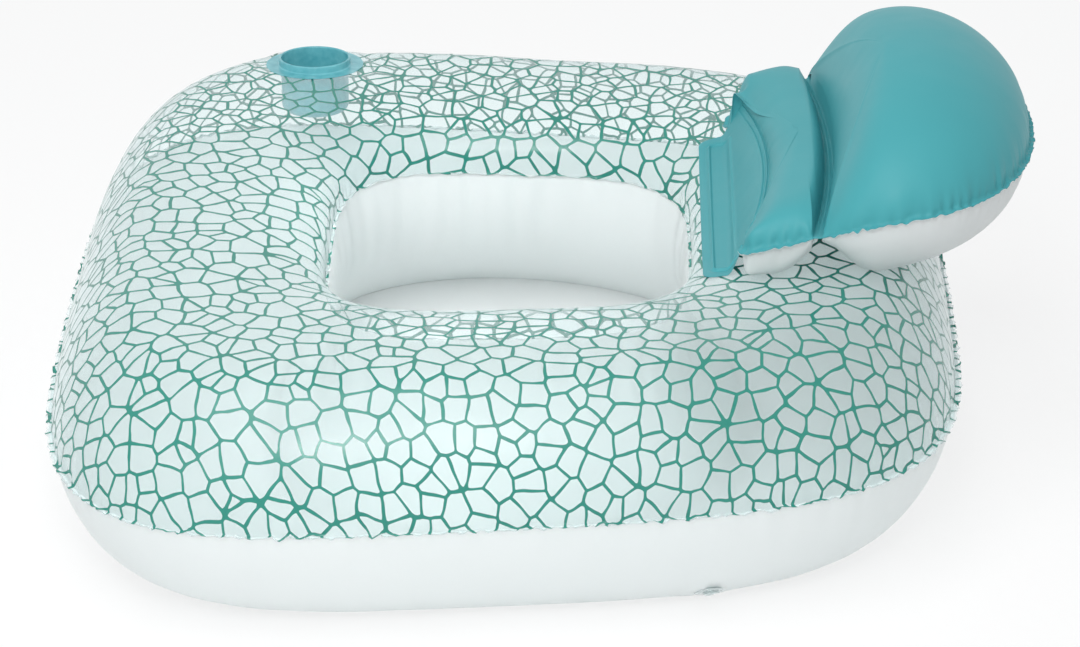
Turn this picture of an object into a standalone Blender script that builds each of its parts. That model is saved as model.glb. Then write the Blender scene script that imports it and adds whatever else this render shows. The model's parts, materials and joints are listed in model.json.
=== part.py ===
# Inflatable lounge chair: a square ring with a sheet floor, a cup holder and
# a backrest that folds, cut from PVC sheet and welded along flat seams.
#
# Metres, +Z up. The sitter faces -X and leans back on the pillow at +X.
# The origin is under the middle of the whole chair, on the ground.

import math

import bmesh
import bpy
from mathutils import Matrix, Vector

# Sheet stock and welds
SHEET = 0.0004            # gauge of the PVC sheet
PLAY = 0.0003             # gap left where two pieces touch
SEAM_WIDTH = 0.006        # flat weld edge that stands out of a seam
REST_CLEARANCE = 0.005    # air under a soft piece that lies on the ring

# Ring, seen from above
RING_HALF_LENGTH = 0.540
RING_HALF_WIDTH = 0.550
RING_CORNER_POWER = 3.9
WELL_HALF_LENGTH = 0.222
WELL_HALF_WIDTH = 0.237
WELL_CORNER_POWER = 3.6
FOOT_FLARE_SHARE = 0.123  # how much wider the foot end is than the middle

# Ring, in section. A share runs from the outer seam (0) to the inner seam (1).
RING_HEIGHT = 0.308
OUTER_SEAM_SHARE = 0.507
INNER_SEAM_SHARE = 0.770
CREST_SHARE = 0.33
OUTER_SLOPE_POWER = 1.60
INNER_SLOPE_POWER = 3.20
UNDERSIDE_POWER = 1.80
FLAT_START_SHARE = 0.36
FLAT_INSET_SHARE = 0.14
FOOT_RUN_SHARE = 0.62      # the rounded foot of the wall, half way to the floor
FOOT_RISE_SHARE = 0.30
WALL_BULGE_SHARE = 0.050
WALL_CURVE_POWER = 2.2

# Seat floor
FLOOR_HEIGHT = 0.040
FLOOR_SAG = 0.012
FLOOR_END_SHARE = 0.80
FLOOR_SIDE_SHARE = 0.67
FLOOR_CORNER_SHARE = 0.10
DRAIN_RADIUS = 0.020
DRAIN_SPACING_X = 0.111
DRAIN_SPACING_Y = 0.228
DRAIN_CENTRE_X = -0.060

# Cup holder
CUP_END_INSET = 0.273     # from the foot end of the ring to the cup's axis
CUP_SIDE_INSET = 0.116    # from the side of the ring to the cup's axis
CUP_RADIUS = 0.044
CUP_DEPTH = 0.062
CUP_CORNER = 0.010
CUP_LIP_HEIGHT = 0.010
CUP_LIP_WIDTH = 0.0025
CUP_FLANGE_WIDTH = 0.0195
CUP_TILT = math.radians(5.0)
CUP_SINK = 0.004          # how far the flange draws the top sheet down

# Backrest: flap, lumbar roll and head pillow, one behind the other from the well
FLAP_SETBACK = 0.011      # from the edge of the well to the front of the flap
TAB_LENGTH = 0.039
APRON_LENGTH = 0.040
ROLL_LENGTH = 0.052       # at the ends of the roll's crease
CREASE_HALF_WIDTH = 0.246
ROLL_TAPER = 0.024        # how much narrower the roll is at its front
FLAP_INSET = 0.044        # how much narrower the flap is than the roll
FLAP_CORNER = 0.024
FLAP_LIFT = 0.0015
APRON_GAP = 0.0012        # between the apron and the weld edge of the roll
WELD_BEAD = 0.0012
FLAP_LENGTH_SHARES = (0.0, 0.14, 0.24, 0.32, 0.40, 0.68, 0.76, 0.84, 1.0)
FLAP_WIDTH_SHARES = (-1.0, -0.95, -0.90, -0.86, -0.45, 0.0, 0.45, 0.86, 0.90, 0.95, 1.0)
ROLL_FRONT_SWEEP = 0.038
ROLL_FRONT_LIFT = 0.042   # height of the seam over the ring's crest
ROLL_RISE = 0.058
ROLL_DROP = 0.055
ROLL_END_BULGE = 0.010
ROLL_END_POWER = 5.0
ROLL_FRONT_FLANK_SHARE = 0.55
ROLL_CREASE_FLANK_SHARE = 0.62
CREASE_BOW = 0.022
CREASE_LIFT = 0.064
CREASE_STRIP = 0.006
CREASE_EDGE = 0.0015
CREASE_GAP = 0.0010       # between the strip and the cushions on either side of it
PILLOW_HALF_LENGTH = 0.183
PILLOW_CUT_SHARE = 0.40   # where the crease cuts the pillow's oval
PILLOW_CORNER_POWER = 2.1
PILLOW_FLANK_SHARE = 0.20
PILLOW_RISE = 0.120
PILLOW_DROP = 0.132
PILLOW_TIP_LIFT = 0.043
PILLOW_LIFT_POWER = 3.5

# Air valves, each one moulded in soft PVC
STEM_RADIUS = 0.0060
STEM_WALL = 0.0017
STEM_LENGTH = 0.0200
STEM_PROUD = 0.0016
STEM_STOP = 0.0015
STEM_COLLAR = 0.0010
VALVE_FLANGE_WIDTH = 0.0110
VALVE_FLANGE = 0.0010
EAR_LENGTH = 0.0060
EAR_WIDTH = 0.0050
PLUG_CLEARANCE = 0.0013
PLUG_PIN_LENGTH = 0.0050
PLUG_CAP = 0.0015
TETHER = 0.0008
CHECK_FLAP = 0.0006
RING_VALVE_INSET = 0.300
RING_VALVE_SHARE = 0.19
PILLOW_VALVE_SHARE = 0.62
PILLOW_VALVE_OFFSET = 0.070

# Faceting
RING_SEGMENTS = 48
ROUND_SEGMENTS = 24
VALVE_SEGMENTS = 14
TOP_STEPS = 5
WALL_STEPS = 4
CUP_STEPS = 4
CREASE_STEPS = 12
ROLL_FRONT_STEPS = 10
ROLL_END_STEPS = 4
PILLOW_STEPS = 24
APRON_STEPS = 8
FLOOR_REACH_SHARES = (1.0, 0.70, 0.35)
CUSHION_REACH_SHARES = (1.0, 0.975, 0.92, 0.83, 0.70, 0.54, 0.36, 0.18)
LAND_CLEAR_SHARE = 1.15   # faces this close to a round land make way for it
LAND_REFINE_SHARE = 1.6
LAND_EDGE_SHARE = 0.8
STEP_SHARE = 0.01         # small step that measures a slope

OVERRUN = 0.010           # how far a cutter passes through what it cuts
MERGE = 0.00001           # points closer than this are one point

# Places that follow from the sizes
OUTER_SEAM_Z = RING_HEIGHT * OUTER_SEAM_SHARE
INNER_SEAM_Z = RING_HEIGHT * INNER_SEAM_SHARE
CUP_X = CUP_END_INSET - RING_HALF_LENGTH
CUP_Y = RING_HALF_WIDTH - CUP_SIDE_INSET
CUP_FLANGE_RADIUS = CUP_RADIUS + CUP_FLANGE_WIDTH
ROLL_HALF_WIDTH = CREASE_HALF_WIDTH - ROLL_TAPER
FLAP_HALF_WIDTH = ROLL_HALF_WIDTH - FLAP_INSET
FLAP_FRONT_X = WELL_HALF_LENGTH + FLAP_SETBACK
FLAP_FOLD_X = FLAP_FRONT_X + TAB_LENGTH
ROLL_FRONT_X = FLAP_FOLD_X + APRON_LENGTH
CREASE_X = ROLL_FRONT_X + ROLL_LENGTH
ROLL_FRONT_Z = RING_HEIGHT + ROLL_FRONT_LIFT
CREASE_Z = RING_HEIGHT + CREASE_LIFT
CREASE_OFFSET = CREASE_STRIP / 2.0 + CREASE_GAP + CREASE_EDGE
PILLOW_CENTRE_X = CREASE_X + CREASE_OFFSET + PILLOW_CUT_SHARE * PILLOW_HALF_LENGTH
PILLOW_CUT_HEIGHT_SHARE = (1.0 - PILLOW_CUT_SHARE ** PILLOW_CORNER_POWER) ** (1.0 / PILLOW_CORNER_POWER)
PILLOW_HALF_WIDTH = CREASE_HALF_WIDTH / PILLOW_CUT_HEIGHT_SHARE
STEM_BORE = STEM_RADIUS - STEM_WALL
EAR_REACH = STEM_RADIUS + EAR_LENGTH
PLUG_PIN_RADIUS = STEM_BORE - PLUG_CLEARANCE
VALVE_FLANGE_RADIUS = STEM_RADIUS + VALVE_FLANGE_WIDTH
RING_VALVE_X = RING_HALF_LENGTH - RING_VALVE_INSET


def clear_scene():
    for item in list(bpy.data.objects):
        bpy.data.objects.remove(item, do_unlink=True)


def material(name, colour, roughness, alpha=1.0):
    made = bpy.data.materials.new(name)
    made.use_nodes = True
    shader = made.node_tree.nodes["Principled BSDF"]
    shader.inputs["Base Color"].default_value = (*colour, 1.0)
    shader.inputs["Roughness"].default_value = roughness
    shader.inputs["Metallic"].default_value = 0.0
    shader.inputs["Alpha"].default_value = alpha
    made.diffuse_color = (*colour, alpha)
    return made


def empty(name, parent, location, rotation=None):
    made = bpy.data.objects.new(name, None)
    bpy.context.scene.collection.objects.link(made)
    made.parent = parent
    made.location = location
    if rotation is not None:
        made.rotation_mode = "QUATERNION"
        made.rotation_quaternion = rotation
    return made


def finish(name, bm, look, parent, offset=Vector()):
    """Turn a bmesh into a named, smooth-shaded object under its parent."""
    bmesh.ops.transform(bm, matrix=Matrix.Translation(-offset), verts=bm.verts)
    mesh = bpy.data.meshes.new(name)
    bm.to_mesh(mesh)
    bm.free()
    mesh.shade_smooth()
    mesh.set_sharp_from_angle(angle=math.radians(40.0))
    mesh.materials.append(look)
    made = bpy.data.objects.new(name, mesh)
    bpy.context.scene.collection.objects.link(made)
    made.parent = parent
    return made


def solidify(made, thickness=SHEET):
    """The modelled face is the outer face, and the gauge goes inwards."""
    skin = made.modifiers.new("gauge", "SOLIDIFY")
    skin.thickness = thickness
    skin.offset = -1.0
    skin.use_even_offset = False
    skin.use_rim = True
    return made


def face_up(bm, upward):
    """Turn all faces so that the sheet as a whole faces up or down."""
    bm.normal_update()
    total = sum(face.calc_area() * face.normal.z for face in bm.faces)
    if (total > 0.0) != upward:
        bmesh.ops.reverse_faces(bm, faces=bm.faces)
    bm.normal_update()


def grid_sheet(rows, closed):
    """A sheet from rows of points; a closed sheet joins its rows end to end."""
    bm = bmesh.new()
    verts = [[bm.verts.new(point) for point in row] for row in rows]
    columns = len(rows[0])
    for lower, upper in zip(verts, verts[1:]):
        for j in range(columns if closed else columns - 1):
            k = (j + 1) % columns
            bm.faces.new((lower[j], lower[k], upper[k], upper[j]))
    return bm


# Ring plan and section

def superellipse_radius(angle, half_length, half_width, power):
    along = abs(math.cos(angle) / half_length) ** power
    across = abs(math.sin(angle) / half_width) ** power
    return (along + across) ** (-1.0 / power)


def ring_radii(angle):
    outer = superellipse_radius(angle, RING_HALF_LENGTH, RING_HALF_WIDTH, RING_CORNER_POWER)
    inner = superellipse_radius(angle, WELL_HALF_LENGTH, WELL_HALF_WIDTH, WELL_CORNER_POWER)
    return outer, inner


def flare(x):
    return 1.0 - FOOT_FLARE_SHARE * x / RING_HALF_LENGTH


def ring_point(angle, share, z, push=0.0):
    """A point of the ring; push moves it outwards in plan by a length."""
    outer, inner = ring_radii(angle)
    radius = outer + (inner - outer) * share + push
    x = radius * math.cos(angle)
    return Vector((x, radius * math.sin(angle) * flare(x), z))


def ring_share(x, y):
    y = y / flare(x)
    outer, inner = ring_radii(math.atan2(y, x))
    return (outer - math.hypot(x, y)) / (outer - inner)


def top_height(share):
    if share < 0.0 or share > 1.0:
        return 0.0
    if share <= CREST_SHARE:
        run = 1.0 - share / CREST_SHARE
        rise = (1.0 - run ** OUTER_SLOPE_POWER) ** (1.0 / OUTER_SLOPE_POWER)
        return OUTER_SEAM_Z + (RING_HEIGHT - OUTER_SEAM_Z) * rise
    run = (share - CREST_SHARE) / (1.0 - CREST_SHARE)
    rise = (1.0 - run ** INNER_SLOPE_POWER) ** (1.0 / INNER_SLOPE_POWER)
    return INNER_SEAM_Z + (RING_HEIGHT - INNER_SEAM_Z) * rise


def ring_top(x, y):
    return top_height(ring_share(x, y))


def quarter(steps):
    """Even angles of a quarter turn, without its start."""
    return [math.pi / 2.0 * i / steps for i in range(1, steps + 1)]


def top_profile():
    """Shares and heights of the top sheet from the outer to the inner seam."""
    points = [(0.0, OUTER_SEAM_Z)]
    for turn in quarter(TOP_STEPS):
        share = CREST_SHARE * (1.0 - math.cos(turn) ** (2.0 / OUTER_SLOPE_POWER))
        points.append((share, top_height(share)))
    for turn in quarter(TOP_STEPS):
        run = math.sin(turn) ** (2.0 / INNER_SLOPE_POWER)
        share = CREST_SHARE + (1.0 - CREST_SHARE) * run
        points.append((share, top_height(min(share, 1.0))))
    return points


def floor_share(angle):
    side = math.sin(angle) ** 2
    corner = math.sin(2.0 * angle) ** 2
    share = FLOOR_END_SHARE + (FLOOR_SIDE_SHARE - FLOOR_END_SHARE) * side
    return share + FLOOR_CORNER_SHARE * corner


def bottom_profile(angle):
    """Shares and heights of the bottom sheet from the outer to the inner seam."""
    points = [(0.0, OUTER_SEAM_Z)]
    for turn in quarter(TOP_STEPS):
        share = FLAT_START_SHARE * (1.0 - math.cos(turn) ** (2.0 / UNDERSIDE_POWER))
        z = OUTER_SEAM_Z * (1.0 - math.sin(turn) ** (2.0 / UNDERSIDE_POWER))
        points.append((share, z))
    seat = floor_share(angle)
    flat_end = seat - FLAT_INSET_SHARE
    points.append(((FLAT_START_SHARE + flat_end) / 2.0, 0.0))
    points.append((flat_end, 0.0))
    middle = flat_end + FLAT_INSET_SHARE * FOOT_RUN_SHARE
    points.append((middle, FLOOR_HEIGHT * FOOT_RISE_SHARE))
    points.append((seat, FLOOR_HEIGHT))
    for step in range(1, WALL_STEPS + 1):
        up = step / WALL_STEPS
        down = 1.0 - up
        share = 1.0 + (seat - 1.0) * down ** WALL_CURVE_POWER
        share += WALL_BULGE_SHARE * math.sin(math.pi * down)
        points.append((share, FLOOR_HEIGHT + (INNER_SEAM_Z - FLOOR_HEIGHT) * up))
    return points


def ring_sheet(profile_of, seam_offset):
    """One annular sheet with its flat weld edges at the two seams."""
    rows = []
    sample = profile_of(0.0)
    angles = [2.0 * math.pi * i / RING_SEGMENTS for i in range(RING_SEGMENTS)]
    edge_z = OUTER_SEAM_Z + seam_offset
    rows.append([ring_point(a, 0.0, edge_z, SEAM_WIDTH) for a in angles])
    for index in range(len(sample)):
        row = []
        for angle in angles:
            share, z = profile_of(angle)[index]
            if index in (0, len(sample) - 1):
                z += seam_offset
            row.append(ring_point(angle, share, z))
        rows.append(row)
    edge_z = INNER_SEAM_Z + seam_offset
    rows.append([ring_point(a, 1.0, edge_z, -SEAM_WIDTH) for a in angles])
    return grid_sheet(rows, closed=True)


def refine(bm, centre, reach):
    """Split the long edges near a place, so that a small land fits in there."""
    far = reach * LAND_REFINE_SHARE
    longest = reach * LAND_EDGE_SHARE
    edges = True
    while edges:
        edges = set()
        for face in bm.faces:
            half = max(edge.calc_length() for edge in face.edges) / 2.0
            if (face.calc_center_median() - centre).length < max(far, half):
                edges |= {edge for edge in face.edges if edge.calc_length() > longest}
        if edges:
            bmesh.ops.subdivide_edges(bm, edges=list(edges), cuts=1, use_grid_fill=True)


def circle_points(centre, turn, radius, segments):
    points = []
    for i in range(segments):
        angle = 2.0 * math.pi * i / segments
        spoke = Vector((math.cos(angle), math.sin(angle), 0.0)) * radius
        points.append(centre + turn @ spoke)
    return points


def seat_land(bm, centre, turn, land_radius, hole_radius, segments):
    """Flatten a ring-shaped land into a sheet, with a round hole in it."""
    refine(bm, centre, land_radius)
    gone = []
    for face in bm.faces:
        nearest = min((vert.co - centre).length for vert in face.verts)
        inside = (face.calc_center_median() - centre).length < land_radius
        if nearest < land_radius * LAND_CLEAR_SHARE or inside:
            gone.append(face)
    rim_before = {edge for edge in bm.edges if edge.is_boundary}
    while gone:
        bmesh.ops.delete(bm, geom=gone, context="FACES")
        gone = [face for face in bm.faces if all(edge.is_boundary for edge in face.edges)]
    rim = [edge for edge in bm.edges if edge.is_boundary and edge not in rim_before]
    outer = [bm.verts.new(p) for p in circle_points(centre, turn, land_radius, segments)]
    inner = [bm.verts.new(p) for p in circle_points(centre, turn, hole_radius, segments)]
    ring_edges = []
    for i in range(segments):
        k = (i + 1) % segments
        ring_edges.append(bm.edges.new((outer[i], outer[k])))
        bm.faces.new((outer[i], outer[k], inner[k], inner[i]))
    bmesh.ops.bridge_loops(bm, edges=rim + ring_edges)
    bmesh.ops.recalc_face_normals(bm, faces=bm.faces)


def surface_frame(normal, toward):
    """A turn whose local Z is the normal and whose local X leans toward."""
    z = normal.normalized()
    x = (toward - z * toward.dot(z)).normalized()
    y = z.cross(x)
    return Matrix((x, y, z)).transposed().to_quaternion()


# Places of the cup and the valves

def cup_frame():
    centre = Vector((CUP_X, CUP_Y, ring_top(CUP_X, CUP_Y) - CUP_SINK))
    normal = Vector((0.0, math.sin(CUP_TILT), math.cos(CUP_TILT)))
    return centre, surface_frame(normal, Vector((1.0, 0.0, 0.0)))


def underside_point(share):
    run = 1.0 - share / FLAT_START_SHARE
    rise = (1.0 - run ** UNDERSIDE_POWER) ** (1.0 / UNDERSIDE_POWER)
    return OUTER_SEAM_Z * (1.0 - rise)


def ring_valve_frame():
    """On the underside, on the side away from the cup and towards the pillow."""
    angle = math.atan2(-RING_HALF_WIDTH, RING_VALVE_X)
    for _ in range(8):
        here = ring_point(angle, RING_VALVE_SHARE, 0.0)
        angle = math.atan2(here.y / flare(here.x), RING_VALVE_X)
    z = underside_point(RING_VALVE_SHARE)
    centre = ring_point(angle, RING_VALVE_SHARE, z)
    along = ring_point(angle + STEP_SHARE, RING_VALVE_SHARE, z) - centre
    next_share = RING_VALVE_SHARE + STEP_SHARE
    down = ring_point(angle, next_share, underside_point(next_share)) - centre
    normal = along.cross(down).normalized()
    if normal.z > 0.0:
        normal.negate()
    return centre, surface_frame(normal, Vector((1.0, 0.0, 0.0)))


def make_ring(root, looks):
    bm = ring_sheet(lambda angle: top_profile(), PLAY / 2.0 + SHEET)
    centre, turn = cup_frame()
    hole = CUP_RADIUS + SHEET + CUP_LIP_WIDTH * 0.5
    seat_land(bm, centre, turn, CUP_FLANGE_RADIUS + SEAM_WIDTH / 2.0, hole, ROUND_SEGMENTS)
    face_up(bm, True)
    solidify(finish("ring_top_sheet", bm, looks["clear"], root))

    bm = ring_sheet(bottom_profile, -PLAY / 2.0 - SHEET)
    centre, turn = ring_valve_frame()
    hole = STEM_RADIUS + PLAY + SHEET
    land = VALVE_FLANGE_RADIUS + PLAY
    seat_land(bm, centre, turn, land, hole, VALVE_SEGMENTS)
    face_up(bm, False)
    solidify(finish("ring_bottom_sheet", bm, looks["white"], root))


def make_floor(root, looks):
    """The floor is welded all round to the wall of the well."""
    angles = [2.0 * math.pi * i / RING_SEGMENTS for i in range(RING_SEGMENTS)]
    inset = SHEET + PLAY
    rows = []
    for reach in FLOOR_REACH_SHARES:
        row = []
        for angle in angles:
            edge = ring_point(angle, floor_share(angle), FLOOR_HEIGHT, -inset)
            sag = FLOOR_SAG * (1.0 - reach ** 2)
            row.append(Vector((edge.x * reach, edge.y * reach, FLOOR_HEIGHT - sag)))
        rows.append(row)
    bm = grid_sheet(rows, closed=True)
    bm.verts.ensure_lookup_table()
    bottom = bm.verts.new((0.0, 0.0, FLOOR_HEIGHT - FLOOR_SAG))
    last = bm.verts[-1 - RING_SEGMENTS:-1]
    for i in range(RING_SEGMENTS):
        bm.faces.new((last[i], last[(i + 1) % RING_SEGMENTS], bottom))
    face_up(bm, True)
    floor = solidify(finish("seat_floor", bm, looks["white"], root))

    cutter_bm = bmesh.new()
    for column in (-0.5, 0.5):
        for row in (-1.0, 0.0, 1.0):
            place = Vector((DRAIN_CENTRE_X + column * DRAIN_SPACING_X, row * DRAIN_SPACING_Y,
                            FLOOR_HEIGHT))
            bmesh.ops.create_cone(cutter_bm, cap_ends=True, segments=VALVE_SEGMENTS,
                                  radius1=DRAIN_RADIUS, radius2=DRAIN_RADIUS,
                                  depth=2.0 * (FLOOR_SAG + OVERRUN),
                                  matrix=Matrix.Translation(place))
    cutter = finish("drain_cutter", cutter_bm, looks["white"], root)
    cutter.hide_render = True
    cutter.display_type = "WIRE"
    cut = floor.modifiers.new("drains", "BOOLEAN")
    cut.operation = "DIFFERENCE"
    cut.solver = "EXACT"
    cut.object = cutter


def turned(profile, segments):
    """A closed body of revolution about Z from a closed profile of r, z."""
    bm = bmesh.new()
    verts = [bm.verts.new((r, 0.0, z)) for r, z in profile]
    edges = [bm.edges.new((verts[i], verts[(i + 1) % len(verts)])) for i in range(len(verts))]
    bmesh.ops.spin(bm, geom=verts + edges, cent=Vector(), axis=Vector((0.0, 0.0, 1.0)),
                   angle=2.0 * math.pi, steps=segments, use_merge=True, use_duplicate=False)
    bmesh.ops.remove_doubles(bm, verts=bm.verts, dist=MERGE)
    bmesh.ops.recalc_face_normals(bm, faces=bm.faces)
    return bm


def shell_of_revolution(path, thickness):
    """A closed profile round an open path of r, z, thickened to its left."""
    offset = []
    for i, (r, z) in enumerate(path):
        before = path[max(i - 1, 0)]
        after = path[min(i + 1, len(path) - 1)]
        run = Vector((after[0] - before[0], after[1] - before[1]))
        run.normalize()
        offset.append((max(r - run.y * thickness, 0.0), z + run.x * thickness))
    return path + offset[::-1]


def make_cup(root, looks):
    """A formed pocket: flat flange, raised lip, straight wall, round foot."""
    centre, turn = cup_frame()
    base = turn @ Vector((0.0, 0.0, PLAY))
    frame = empty("cup_frame", root, centre + base, turn)
    lip = CUP_RADIUS + CUP_LIP_WIDTH
    path = [(0.0, -CUP_DEPTH)]
    for i in range(CUP_STEPS + 1):
        angle = math.pi / 2.0 * i / CUP_STEPS
        path.append((CUP_RADIUS - CUP_CORNER * (1.0 - math.sin(angle)),
                     -CUP_DEPTH + CUP_CORNER * (1.0 - math.cos(angle))))
    path.append((CUP_RADIUS, CUP_LIP_HEIGHT - CUP_LIP_WIDTH / 2.0))
    path.append((CUP_RADIUS + CUP_LIP_WIDTH * 0.25, CUP_LIP_HEIGHT))
    path.append((CUP_RADIUS + CUP_LIP_WIDTH * 0.75, CUP_LIP_HEIGHT))
    path.append((lip, CUP_LIP_HEIGHT - CUP_LIP_WIDTH / 2.0))
    path.append((lip + CUP_LIP_WIDTH * 0.4, CUP_LIP_WIDTH))
    path.append((lip + CUP_LIP_WIDTH * 1.6, SHEET))
    path.append((CUP_FLANGE_RADIUS, SHEET))
    bm = turned(shell_of_revolution(path, -SHEET), ROUND_SEGMENTS)
    finish("cup_holder", bm, looks["cup"], frame)


# Backrest outlines

def crease_x(y):
    return CREASE_X + CREASE_BOW * (1.0 - (y / CREASE_HALF_WIDTH) ** 2)


def roll_front_x(y):
    return ROLL_FRONT_X - ROLL_FRONT_SWEEP * (y / ROLL_HALF_WIDTH) ** 2


def roll_plane(x, y):
    """The seam of the roll climbs from the flap to the crease."""
    share = (x - ROLL_FRONT_X + ROLL_FRONT_SWEEP) / (CREASE_X - ROLL_FRONT_X + ROLL_FRONT_SWEEP)
    return ROLL_FRONT_Z + (CREASE_Z - ROLL_FRONT_Z) * min(share, 1.0)


def pillow_run(x):
    """0 at the ends of the crease and 1 at the tip of the pillow."""
    tip = PILLOW_CENTRE_X + PILLOW_HALF_LENGTH
    return min(max((x - CREASE_X) / (tip - CREASE_X), 0.0), 1.0)


def pillow_plane(x, y):
    """The seam of the pillow lifts off the ring and levels out at its tip."""
    return CREASE_Z + PILLOW_TIP_LIFT * (1.0 - (1.0 - pillow_run(x)) ** PILLOW_LIFT_POWER)


def crease_points(offset):
    """Points beside the crease, from one end to the other."""
    points = []
    for i in range(CREASE_STEPS + 1):
        y = CREASE_HALF_WIDTH * (2.0 * i / CREASE_STEPS - 1.0)
        points.append((crease_x(y) + offset, y, CREASE_EDGE))
    return points


def roll_end_points():
    """The bulged end of the roll, from its crease to its front."""
    back = Vector((crease_x(CREASE_HALF_WIDTH) - CREASE_OFFSET, CREASE_HALF_WIDTH))
    front = Vector((roll_front_x(ROLL_HALF_WIDTH), ROLL_HALF_WIDTH))
    points = []
    for i in range(1, ROLL_END_STEPS):
        share = i / ROLL_END_STEPS
        place = back.lerp(front, share)
        points.append((place.x, place.y + ROLL_END_BULGE * math.sin(math.pi * share), SEAM_WIDTH))
    return points


def roll_outline():
    """Points round the roll with the width of the weld edge at each."""
    end = roll_end_points()
    points = crease_points(-CREASE_OFFSET) + end
    for i in range(ROLL_FRONT_STEPS + 1):
        y = ROLL_HALF_WIDTH * (1.0 - 2.0 * i / ROLL_FRONT_STEPS)
        points.append((roll_front_x(y), y, CREASE_EDGE))
    points += [(x, -y, width) for x, y, width in reversed(end)]
    return points


def pillow_outline():
    """An oval cut off by the crease, with the width of the weld edge."""
    points = crease_points(CREASE_OFFSET)[::-1]
    start = math.acos(-PILLOW_CUT_SHARE ** (PILLOW_CORNER_POWER / 2.0))
    power = 2.0 / PILLOW_CORNER_POWER
    for i in range(1, PILLOW_STEPS):
        turn = -start + 2.0 * start * i / PILLOW_STEPS
        ahead = math.copysign(abs(math.cos(turn)) ** power, math.cos(turn))
        side = math.copysign(abs(math.sin(turn)) ** power, turn)
        x = PILLOW_CENTRE_X + PILLOW_HALF_LENGTH * ahead
        points.append((x, PILLOW_HALF_WIDTH * side, SEAM_WIDTH))
    return points


def roll_fullness(x, y):
    """From 0 on the outline of the roll to 1 along its crown."""
    front = roll_front_x(y)
    across = min(max((x - front) / (crease_x(y) - front), 0.0), 1.0)
    end = ROLL_HALF_WIDTH + (CREASE_HALF_WIDTH - ROLL_HALF_WIDTH) * across
    along = min(abs(y) / (end + ROLL_END_BULGE), 1.0)
    rise = min(across / ROLL_FRONT_FLANK_SHARE, 1.0)
    fall = min((1.0 - across) / ROLL_CREASE_FLANK_SHARE, 1.0)
    flank = math.sqrt(rise * (2.0 - rise)) * fall * (2.0 - fall)
    return flank * (1.0 - along ** ROLL_END_POWER) ** 0.5


def pillow_fullness(x, y):
    """From 0 on the outline of the pillow to 1 on its crown."""
    run = abs(x - PILLOW_CENTRE_X) / PILLOW_HALF_LENGTH
    side = abs(y) / PILLOW_HALF_WIDTH
    round_edge = max(1.0 - run ** PILLOW_CORNER_POWER - side ** PILLOW_CORNER_POWER, 0.0)
    flank = 2.0 * PILLOW_HALF_LENGTH * PILLOW_FLANK_SHARE
    crease = min(max((x - crease_x(y)) / flank, 0.0), 1.0)
    return math.sqrt(round_edge) * crease * (2.0 - crease)


def pillow_sheet(outline, centre, plane, fullness, height, upward, seam_offset):
    """Half of an inflated cushion over its outline, up or down from its seam."""
    sign = 1.0 if upward else -1.0
    count = len(outline)
    edge = []
    for i, (x, y, width) in enumerate(outline):
        before = outline[i - 1]
        after = outline[(i + 1) % count]
        out = Vector((after[1] - before[1], before[0] - after[0])).normalized()
        if out.dot(Vector((x - centre[0], y - centre[1]))) < 0.0:
            out.negate()
        edge.append(Vector((x + out.x * width, y + out.y * width, plane(x, y) + seam_offset)))

    def skin(x, y, reach):
        lift = 0.0 if reach == 1.0 else height * fullness(x, y)
        z = plane(x, y) + seam_offset + sign * lift
        if not upward:
            z = max(z, ring_top(x, y) + REST_CLEARANCE)
        return Vector((x, y, z))

    rows = [edge]
    for reach in CUSHION_REACH_SHARES:
        row = []
        for x, y, width in outline:
            px = centre[0] + (x - centre[0]) * reach
            py = centre[1] + (y - centre[1]) * reach
            row.append(skin(px, py, reach))
        rows.append(row)
    bm = grid_sheet(rows, closed=True)
    bm.verts.ensure_lookup_table()
    last = bm.verts[-count:]
    crown = bm.verts.new(skin(centre[0], centre[1], 0.0))
    for i in range(count):
        bm.faces.new((last[i], last[(i + 1) % count], crown))
    face_up(bm, upward)
    return bm


def pillow_valve_frame():
    """On the white underside, behind the ring and off the middle."""
    x = PILLOW_CENTRE_X + PILLOW_HALF_LENGTH * PILLOW_VALVE_SHARE
    y = PILLOW_VALVE_OFFSET
    step = PILLOW_HALF_LENGTH * STEP_SHARE

    def surface(px, py):
        z = pillow_plane(px, py) - PILLOW_DROP * pillow_fullness(px, py)
        return Vector((px, py, max(z, ring_top(px, py) + REST_CLEARANCE)))

    centre = surface(x, y)
    along = surface(x + step, y) - centre
    across = surface(x, y + step) - centre
    normal = along.cross(across).normalized()
    if normal.z > 0.0:
        normal.negate()
    return centre, surface_frame(normal, Vector((0.0, 1.0, 0.0)))


def fold_height():
    """The fold is a straight line over the highest point of the ring under it."""
    return ring_top(FLAP_FOLD_X, FLAP_HALF_WIDTH) + FLAP_LIFT + SHEET / 2.0


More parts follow.
